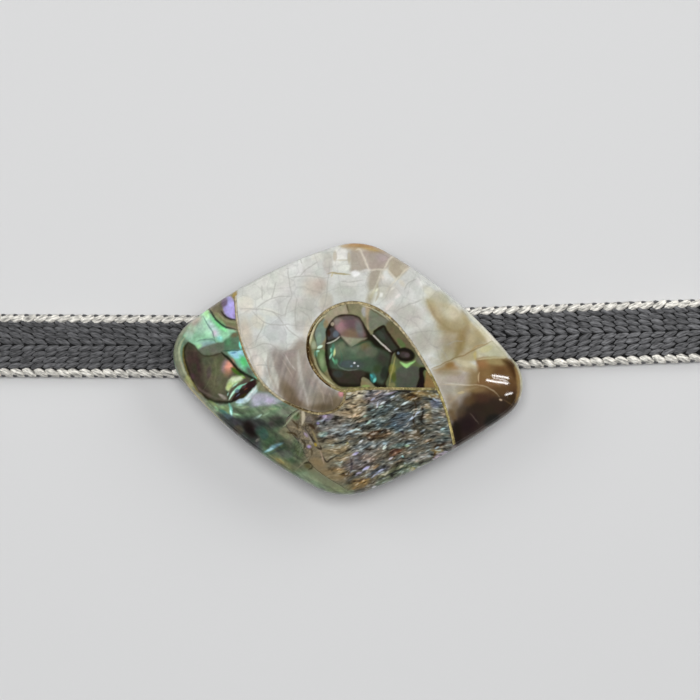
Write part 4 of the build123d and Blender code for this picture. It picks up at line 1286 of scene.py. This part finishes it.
def makeBase():
    # Rim, side and back of the base plate as closed rows of points, from its pocket out and round
    ring = evenly(plateEdge, plate["rimPoints"])
    along = np.roll(ring, -1, 0) - np.roll(ring, 1, 0)
    inward = np.stack([-along[:, 1], along[:, 0]], 1) / np.hypot(*along.T)[:, None]
    places = []

    def addRow(inset, height):
        xy = ring + inward * inset
        places.append(np.column_stack([xy, np.full(len(ring), height)]))

    def addTopRow(inset, drop=0.0):
        xy = ring + inward * inset
        reach = plate["rimRound"] - inset
        fall = plate["rimRound"] - math.sqrt(max(plate["rimRound"] ** 2 - reach**2, 0))
        places.append(np.column_stack([xy, domeHeight(xy[:, 0], xy[:, 1]) - fall - drop]))

    def addCentre(share, source):
        xy = places[source][:, :2] * share
        places.append(np.column_stack([xy, places[source][:, 2]]))

    addTopRow(plate["rimWidth"], plate["shellThickness"] + plate["floorGap"])
    shrunk = np.array((plate["centreShare"], plate["centreShare"], 1))
    places.insert(0, places[0] * shrunk - np.array((0, 0, plate["floorSink"])))
    for depth in (0.5, 0.05):
        addTopRow(plate["rimWidth"], plate["shellThickness"] * depth)
    rimTurn = math.acos(1 - plate["rimWidth"] / plate["rimRound"])
    for step in range(plate["rimSteps"] + 1):
        turn = rimTurn * (1 - step / plate["rimSteps"])
        addTopRow(plate["rimRound"] * (1 - math.cos(turn)))
    sideTop = places[-1][:, 2]
    sideRow = len(places)
    for share in (0.33, 0.66, 1.0):
        height = sideTop + (plate["backHeight"] + plate["backRound"] - sideTop) * share
        places.append(np.column_stack([ring, height]))
    for step in range(1, 5):
        turn = math.radians(22.5 * step)
        inset = plate["backRound"] * (1 - math.cos(turn))
        addRow(inset, plate["backHeight"] + plate["backRound"] * (1 - math.sin(turn)))
    last = len(places) - 1
    for share in (0.98, 0.6, plate["centreShare"]):
        addCentre(share, last)
    count = len(ring)
    faces = [(a, d, c, b) for a, b, c, d in ringFaces(len(places), count)]  # turned to look outwards
    places = np.vstack(places)
    made = makeMesh("base_plate_rim", places.tolist(), faces)
    colour = rimColour(*photoPixels(places[:, 0], places[:, 1]))
    # Side and back go to the dark back tone over the rows of the side; the first two rows, in the pocket under
    # the shell, are darkened as painted shade
    rowNumber = np.arange(len(places) // count)
    back = np.repeat(np.clip((rowNumber - sideRow + 0.5) / 2.5, 0, 1), count)[:, None]
    colour = colour + (np.array(plate["backTone"]) - colour) * back
    colour[: count * 2] *= plate["pocketShade"]
    paintMesh(made, colour, plate["coatLift"])
    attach(made, "root")
    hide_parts("base_plate")
    print("base plate faces", len(faces))
    return made


# Materials
def newMaterial(name):
    made = bpy.data.materials.new(name)
    made.use_nodes = True
    return made, made.node_tree, made.node_tree.nodes["Principled BSDF"]


def addNode(tree, kind, **inputs):
    made = tree.nodes.new(kind)
    for name, value in inputs.items():
        made.inputs[name].default_value = value
    return made


def setInputs(shader, values):
    for name, value in values.items():
        shader.inputs[name].default_value = value


def addTonedPaint(tree, surface, noise, share):
    # The painted colour of each point, up to this share lighter or darker with the noise
    paint = tree.nodes.new("ShaderNodeAttribute")
    paint.attribute_name = "paint"
    spread = tree.nodes.new("ShaderNodeMapRange")
    setInputs(spread, {"From Min": 0.3, "From Max": 0.7, "To Min": 1 - share, "To Max": 1 + share})
    toned = tree.nodes.new("ShaderNodeVectorMath")
    toned.operation = "SCALE"
    tree.links.new(noise.outputs["Fac"], spread.inputs["Value"])
    tree.links.new(paint.outputs["Color"], toned.inputs[0])
    tree.links.new(spread.outputs["Result"], toned.inputs["Scale"])
    tree.links.new(toned.outputs["Vector"], surface.inputs["Base Color"])


def addBump(tree, surface, noise, strength, depth):
    bump = addNode(tree, "ShaderNodeBump", Strength=strength, Distance=depth)
    tree.links.new(noise.outputs["Fac"], bump.inputs["Height"])
    tree.links.new(bump.outputs["Normal"], surface.inputs["Normal"])


def shellMaterial(name, values):
    # Painted nacre under a clear polished coat, with a fine grain in tone and a light ripple
    material, tree, surface = newMaterial(name)
    place = tree.nodes.new("ShaderNodeNewGeometry")
    grain = addNode(tree, "ShaderNodeTexNoise", Scale=values["grainScale"], Detail=3.0, Roughness=0.6)
    ripple = addNode(tree, "ShaderNodeTexNoise", Scale=values["rippleScale"], Detail=2.0)
    for noise in (grain, ripple):
        tree.links.new(place.outputs["Position"], noise.inputs["Vector"])
    addTonedPaint(tree, surface, grain, values["grain"])
    addBump(tree, surface, ripple, values["ripple"], values["rippleDepth"])
    setInputs(surface, {"Roughness": values["roughness"], "Metallic": values["metallic"]})
    setInputs(surface, {"Specular IOR Level": values["specular"], "Coat Weight": values["coat"]})
    setInputs(surface, {"Coat Roughness": values["coatRoughness"], "Coat IOR": values["coatIor"]})
    return material


shellLooks = {
    "roughness": 0.42,
    "metallic": 0.0,
    "specular": 0.25,
    "coat": 1.0,
    "coatRoughness": 0.03,
    "coatIor": 1.5,
    "grain": 0.06,
    "grainScale": 2600.0,
    "ripple": 0.12,
    "rippleScale": 420.0,
    "rippleDepth": 0.0004,
}
stripedLooks = {**shellLooks, "ripple": 0.35, "grain": 0.1}
goldLooks = {
    **shellLooks,
    "roughness": 0.35,
    "metallic": 0.3,
    "coat": 0.6,
    "grain": 0.14,
    "ripple": 0.4,
    "rippleScale": 2400.0,
}
shell = shellMaterial("polished_shell", shellLooks)
stripedShell = shellMaterial("striped_shell", stripedLooks)
gold = shellMaterial("gold_line", goldLooks)
panels = {
    "left_abalone": (leftAbalone, plate["cell"], shell),
    "white_shell": (whiteShell, plate["cell"], shell),
    "eye_abalone": (eyeAbalone, plate["cell"], shell),
    "striped_abalone": (stripedAbalone, plate["cell"], stripedShell),
    "gold_seam": (goldSeam, plate["seamCell"], gold),
}
for node, (paint, cell, material) in panels.items():
    makePanel(node, cell, paint).data.materials.append(material)
makeBase().data.materials.append(shell)
print("plate painted")

# Braided band
band = {
    "width": 9.05e-3,
    "thickness": 1.9e-3,
    "end": 55e-3,
    "binding": 2.6e-3,  # thread wound round each end
    "stitchPitch": (1.683e-3, 1.787e-3),  # left and right of the plate
    "stitchStart": 1.0e-3,
    "middle": 0.05e-3,  # the rows' middle lies this far above the band's
    "rows": 8,
    "rowPitch": 0.845e-3,
    "lean": 17.0,  # degrees, down to the right in the upper rows and up in the lower
    "grey": {"length": 2.6e-3, "width": 0.84e-3, "depth": 0.66e-3},
    "pale": {"length": 2.6e-3, "width": 1.08e-3, "depth": 0.74e-3},
    "dark": {"length": 0.95e-3, "width": 0.42e-3, "depth": 0.5e-3},
    "paleLean": 21.0,
    "paleInset": {1: 0.62e-3, -1: 0.44e-3},  # pale stitches, in from the upper and from the lower rim
    "darkInset": {1: 0.2e-3, -1: 0.08e-3},  # dark stitches between them
    "darkShift": 0.27,  # of a pitch, to the left
    "darkLean": 6.0,
    "tips": {"grey": 0.34e-3, "pale": 0.3e-3, "dark": -0.1e-3},  # how far a right end is tucked under
    "sink": 0.33e-3,  # stitches' middle, under the face
    "proud": 0.12e-3,  # how far stitches may stand above the upper face
    "roundFrom": 3.55e-3,  # the edges round over from here, this wide and this deep
    "roundWidth": 1.0e-3,
    "roundDepth": 0.5e-3,
}
yarnTones = {
    "pale": 205,
    "palest": 216,  # the lower edge is paler, as it also has light from below the photo
    "paleTint": (1.0, 0.985, 0.945),
    # Pale and grey yarn are lighter right of the plate and darker left of it: painted light and shade, as the
    # band's right side is lit brighter
    "paleLitRight": 1.05,
    "greyAt": (-0.05, -0.02, 0.02, 0.05),  # metres along the band, darker on the left of the plate
    "grey": (89, 90, 97, 101),
    "greyTint": (0.985, 0.985, 1.0),
    "dark": 0.9,
    # Body under the stitches: near black as painted shade in the gaps between them, lighter grey under the pale
    # edges
    "core": 22,
    "coreEdge": 120,
    "binding": (196, 192, 182),
}
bandCourse = [
    # x, y and height of its middle, in mm
    (-55.0, 3.51, 0.95),
    (-20.5, 3.31, 0.95),
    (-18.0, 3.29, 1.07),
    (-13.5, 3.27, 1.88),
    (-11.0, 3.25, 2.0),
    (-4.0, 3.36, 2.0),
    (4.0, 3.82, 2.0),
    (11.0, 4.21, 2.0),
    (13.5, 4.30, 1.88),
    (18.0, 4.46, 1.07),
    (20.5, 4.55, 0.95),
    (55.0, 5.80, 0.95),
]
courseX, courseY, courseZ = np.array(bandCourse).T * 1e-3


def onBand(x, across, up):
    # A place on the band from its place along, across and above the middle line
    return np.stack([x, np.interp(x, courseX, courseY) + across, np.interp(x, courseX, courseZ) + up], -1)


def stitchShape(length, width, depth, stations=7, sides=8):
    # A leaf laid along +X: fullest before its middle, drawn out to the right
    along = np.linspace(-1, 1, stations)
    points = []
    turn = np.linspace(0, 2 * math.pi, sides, endpoint=False)
    for s in along:
        full = max(1 - abs(s) ** 2.4, 0.0) ** 0.7 * (1 - 0.32 * s)
        y = 0.5 * width * full * np.cos(turn)
        z = 0.5 * depth * full * np.sin(turn)
        points.append(np.stack([np.full(sides, 0.5 * length * s), y, z], 1))
    points = np.vstack(points)
    reach = np.repeat((along + 1) / 2, sides)
    return points, np.array(ringFaces(stations, sides)), np.stack([reach, points[:, 1] / width], 1)


def joinStitches(name, parts):
    places = []
    faces = []
    tones = []
    strands = []
    start = 0
    for shapePoints, shapeFaces, tone, strand in parts:
        places.append(shapePoints)
        faces.append(shapeFaces + start)
        tones.append(np.tile(tone, (len(shapePoints), 1)))
        strands.append(strand)
        start += len(shapePoints)
    made = makeMesh(name, np.vstack(places).tolist(), np.vstack(faces).tolist())
    paintMesh(made, np.vstack(tones))
    fibre = made.data.attributes.new("strand", "FLOAT2", "POINT")
    fibre.data.foreach_set("vector", np.vstack(strands).astype(np.float32).ravel())
    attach(made, "root")
    return made


def threadTone(x, dice, kind):
    # Lighter right of the plate and darker left of it: painted light and shade
    if kind in ("pale", "palest"):
        tone = yarnTones[kind] * (1 + dice.uniform(-0.05, 0.05)) * (yarnTones["paleLitRight"] if x > 0 else 1.0)
        return tone * np.array(yarnTones["paleTint"])
    tone = np.interp(x, yarnTones["greyAt"], yarnTones["grey"]) * (1 + dice.uniform(-0.1, 0.1))
    if kind == "dark":
        tone *= yarnTones["dark"]
    return tone * np.array(yarnTones["greyTint"])


def layStitch(parts, dice, shape, x, across, lean, face, tip, kind):
    # One stitch on a face of the band, turned by its lean, with its right end tucked under by tip
    points, faces, strand = shape
    c, s = math.cos(math.radians(lean)), math.sin(math.radians(lean))
    px = x + points[:, 0] * c - points[:, 1] * s
    py = across + points[:, 0] * s + points[:, 1] * c
    surface = band["thickness"] / 2 - band["sink"]
    over = np.clip((np.abs(py) - band["roundFrom"]) / band["roundWidth"], 0, 1.15)
    height = surface + points[:, 2] - tip * points[:, 0] / band["grey"]["length"] - band["roundDepth"] * over**2
    height = np.clip(height, -1, band["thickness"] / 2 + (band["proud"] if face > 0 else 0))
    faces = faces if face > 0 else faces[:, ::-1]
    strand = strand + np.array((dice.uniform(0, 9), dice.uniform(0, 9)))
    parts.append((onBand(px, py, face * height), faces, threadTone(x, dice, kind), strand))


def buildBand():
    dice = np.random.default_rng(7)
    shapes = {kind: stitchShape(**band[kind]) for kind in ("grey", "pale", "dark")}
    span = band["end"] - band["binding"]
    grey = []
    pale = []
    rim = band["width"] / 2
    for face in (1, -1):
        start = -span + band["stitchStart"]
        while start < span - 0.5e-3:
            pitch = np.interp(start, (-0.02, 0.02), band["stitchPitch"])
            for row in range(band["rows"]):
                fromMiddle = row - (band["rows"] - 1) / 2
                upper = fromMiddle > 0
                across = band["middle"] + fromMiddle * band["rowPitch"] + dice.normal(0, 0.03e-3)
                x = start - 0.1e-3 * abs(fromMiddle) + dice.normal(0, 0.05e-3)
                lean = (-band["lean"] if upper else band["lean"]) + dice.normal(0, 3.0)
                layStitch(grey, dice, shapes["grey"], x, across, lean, face, band["tips"]["grey"], "grey")
            for side in (1, -1):
                lean = side * band["paleLean"] + dice.normal(0, 2.0)
                kind = "pale" if side > 0 else "palest"
                x = start + dice.normal(0, 0.04e-3)
                across = side * (rim - band["paleInset"][side])
                layStitch(pale, dice, shapes["pale"], x, across, lean, face, band["tips"]["pale"], kind)
                x -= band["darkShift"] * pitch
                across = side * (rim - band["darkInset"][side])
                lean = -side * band["darkLean"]
                layStitch(grey, dice, shapes["dark"], x, across, lean, face, band["tips"]["dark"], "dark")
            start += pitch
    return joinStitches("band_grey_braid", grey), joinStitches("band_pale_edges", pale)


def bandSection(count, sideInset, faceInset, fullness):
    # Places across and up on a rounded section this far inside the band
    turn = np.linspace(0, 2 * math.pi, count, endpoint=False)
    halfWidth = band["width"] / 2 - sideInset
    halfDepth = band["thickness"] / 2 - faceInset
    across = np.sign(np.cos(turn)) * np.abs(np.cos(turn)) ** 0.35 * halfWidth
    up = np.sign(np.sin(turn)) * np.abs(np.sin(turn)) ** fullness * halfDepth
    return across, up


def bandCore():
    # The dark body under the stitches, in sections along the band. Its near-black tone is painted shade for the
    # gaps between the stitches, lighter under the pale edges
    count = 28
    across, up = bandSection(count, 0.35e-3, 0.28e-3, 0.7)
    stations = np.unique(np.concatenate([np.linspace(-band["end"], band["end"], 60), courseX]))
    rows = [onBand(np.full(count, x), across, up) for x in stations]
    faces = ringFaces(len(rows), count)
    faces.append(tuple(range(count)))
    faces.append(tuple(len(rows) * count - 1 - i for i in range(count)))
    made = makeMesh("band_core", np.vstack(rows).tolist(), faces)
    edge = np.abs(np.tile(across, len(rows))) > band["roundFrom"]
    tone = np.where(edge, yarnTones["coreEdge"], yarnTones["core"])
    paintMesh(made, np.stack([tone, tone, tone], 1))
    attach(made, "root")
    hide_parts("braided_band")
    return made


bindingThread = {"pitch": 0.42e-3, "along": 0.24e-3, "across": 0.2e-3, "up": 0.22e-3, "inset": 0.22e-3}


def bindEnds():
    # Pale thread wound round both ends, so that they don't fray
    parts = []
    sides, count = 8, 40
    thread = bindingThread
    across, up = bandSection(count, thread["inset"], thread["inset"], 0.6)
    faces = np.array(ringFaces(sides, count, joined=True))
    tone = np.array(yarnTones["binding"])
    length = np.tile(np.arange(count) / 6, sides)
    strand = np.stack([length, np.repeat(np.arange(sides) / sides, count)], 1)
    for end in (-1, 1):
        for wind in range(int(band["binding"] / thread["pitch"])):
            x = end * (band["end"] - thread["along"] - wind * thread["pitch"])
            points = []
            for t in np.linspace(0, 2 * math.pi, sides, endpoint=False):
                px = np.full(count, x + thread["along"] * math.cos(t))
                grow = 1 + thread["up"] * math.sin(t) / (band["thickness"] / 2)
                points.append(onBand(px, across + np.sign(across) * thread["across"] * math.sin(t), up * grow))
            parts.append((np.vstack(points), faces, tone, strand))
    return joinStitches("band_end_binding", parts)


def threadMaterial(name, values):
    # Twisted fibres: fine lines along each stitch from its own strand coordinates
    material, tree, surface = newMaterial(name)
    strand = tree.nodes.new("ShaderNodeAttribute")
    strand.attribute_name = "strand"
    scale = tree.nodes.new("ShaderNodeVectorMath")
    scale.operation = "MULTIPLY"
    scale.inputs[1].default_value = values["fibreScale"]
    fibre = addNode(tree, "ShaderNodeTexNoise", Scale=1.0, Detail=2.0)
    tree.links.new(strand.outputs["Vector"], scale.inputs[0])
    tree.links.new(scale.outputs["Vector"], fibre.inputs["Vector"])
    addTonedPaint(tree, surface, fibre, values["contrast"])
    addBump(tree, surface, fibre, values["fibre"], values["fibreDepth"])
    setInputs(surface, {"Roughness": values["roughness"], "Specular IOR Level": values["specular"]})
    setInputs(surface, {"Sheen Weight": values["sheen"]})
    return material


yarnLooks = {
    "fibreScale": (2.6, 4.2, 1.0),
    "fibre": 0.9,
    "fibreDepth": 0.0001,
    "contrast": 0.7,
    "roughness": 0.5,
    "specular": 0.3,
    "sheen": 0.1,
}
yarn = threadMaterial("silk_thread", yarnLooks)
greyBraid, paleEdges = buildBand()
for piece in (greyBraid, paleEdges, bandCore(), bindEnds()):
    piece.data.materials.append(yarn)
print("band built")

# Gilt fitting behind the plate
gilt, _, giltSurface = newMaterial("satin_gilt")
setInputs(giltSurface, {"Base Color": (*linear((196, 160, 92)), 1), "Metallic": 1.0, "Roughness": 0.34})
fitting = nodes["back_fitting"]
fitting.data.materials.clear()
fitting.data.materials.append(gilt)

# Floor, lights and camera
stageLooks = {
    "floorTone": (213, 213, 213),
    "worldTone": (236, 240, 246),
    "worldStrength": 0.13,
    "high": {"place": (0.02, 0.1, 0.75), "size": (0.44, 0.34), "power": 3.65},
    "right": {"place": (0.73, 0.41, 0.45), "size": (0.8, 0.45), "power": 3.4},
    "left": {"place": (-0.74, 0.2, 0.44), "size": (0.8, 0.4), "power": 2.9},
    "top": {"place": (0.3, 0.85, 0.6), "size": (1.2, 0.3), "power": 0.5},
    "aim": (0.29e-3, 2.75e-3, 7e-3),  # the place under the photo's centre
    "height": 0.6,
    "photoWidth": 101.15e-3,
    "sensor": 36.0,
    "paneDistance": 0.6,
    "paneBrightness": 30.0,
}
cameraPlace = np.array(stageLooks["aim"]) + np.array((0, 0, stageLooks["height"]))


def plainMaterial(name, tone, roughness):
    material, _, surface = newMaterial(name)
    setInputs(surface, {"Base Color": (*linear(tone), 1), "Roughness": roughness, "Specular IOR Level": 0.1})
    return material


floor = makeMesh("floor", [(-2, -2, 0), (2, -2, 0), (2, 2, 0), (-2, 2, 0)], [(0, 1, 2, 3)], smooth=False)
floor.data.materials.append(plainMaterial("floor_paper", stageLooks["floorTone"], 0.9))


def addLight(name, place, size, power, aim=(0, 0, 0.005)):
    light = bpy.data.lights.new(name, "AREA")
    light.energy = power
    light.shape = "RECTANGLE"
    light.size, light.size_y = size
    made = bpy.data.objects.new(name, light)
    bpy.context.scene.collection.objects.link(made)
    made.location = place
    aimed = np.array(aim) - np.array(place)
    made.rotation_mode = "QUATERNION"
    made.rotation_quaternion = Vector(aimed).to_track_quat("-Z", "Y")
    return made


for name in ("high", "right", "left", "top"):
    looks = stageLooks[name]
    soft = addLight(name + "_light", looks["place"], looks["size"], looks["power"])
    soft.visible_glossy = False  # the photo's polished face mirrors none of it

# Small bright panes that the polished tip mirrors: where each shows on the face and its size there, in
# photo pixels, and its turn in degrees
panes = {
    "pane_upper": {"at": (500.5, 376.6), "size": (19.0, 1.6), "turn": -5.0},
    "pane_lower": {"at": (497.5, 381.8), "size": (25.0, 1.7), "turn": -3.0},
    "pane_bar": {"at": (500.5, 379.2), "size": (17.0, 0.6), "turn": -9.0},
    "pane_small": {"at": (509.0, 394.0), "size": (8.5, 1.3), "turn": 24.0},
}
paneSpread = photoScale * (stageLooks["paneDistance"] * (2 / plate["domeRadius"]) + 1)
for name, looks in panes.items():
    x = (looks["at"][0] - photoCentre[0]) * photoScale
    y = (photoCentre[1] - looks["at"][1]) * photoScale
    onFace = np.array((x, y, faceHeight(np.array([x]), np.array([y]))[0]))
    normal = np.array((x, y, math.sqrt(plate["domeRadius"] ** 2 - x * x - y * y))) / plate["domeRadius"]
    ray = onFace - cameraPlace
    ray /= np.linalg.norm(ray)
    away = ray - 2 * (ray @ normal) * normal
    size = (looks["size"][0] * paneSpread, looks["size"][1] * paneSpread)
    power = stageLooks["paneBrightness"] * math.pi * size[0] * size[1]
    pane = addLight(name, onFace + away * stageLooks["paneDistance"], size, power, onFace)
    turned = Quaternion((0, 0, 1), math.radians(90 + looks["turn"]))
    pane.rotation_quaternion = pane.rotation_quaternion @ turned

world = bpy.data.worlds.new("world")
bpy.context.scene.world = world
world.use_nodes = True
backdrop = world.node_tree.nodes["Background"]
setInputs(backdrop, {"Color": (*linear(stageLooks["worldTone"]), 1), "Strength": stageLooks["worldStrength"]})

camera = bpy.data.cameras.new("camera")
cameraObject = bpy.data.objects.new("camera", camera)
bpy.context.scene.collection.objects.link(cameraObject)
cameraObject.location = cameraPlace
camera.sensor_width = stageLooks["sensor"]
camera.lens = stageLooks["sensor"] * stageLooks["height"] / stageLooks["photoWidth"]
camera.clip_start = 0.01
camera.clip_end = 20
bpy.context.scene.camera = cameraObject
bpy.context.scene.view_settings.view_transform = "Standard"
bpy.context.scene.view_settings.look = "None"
print("stage set")
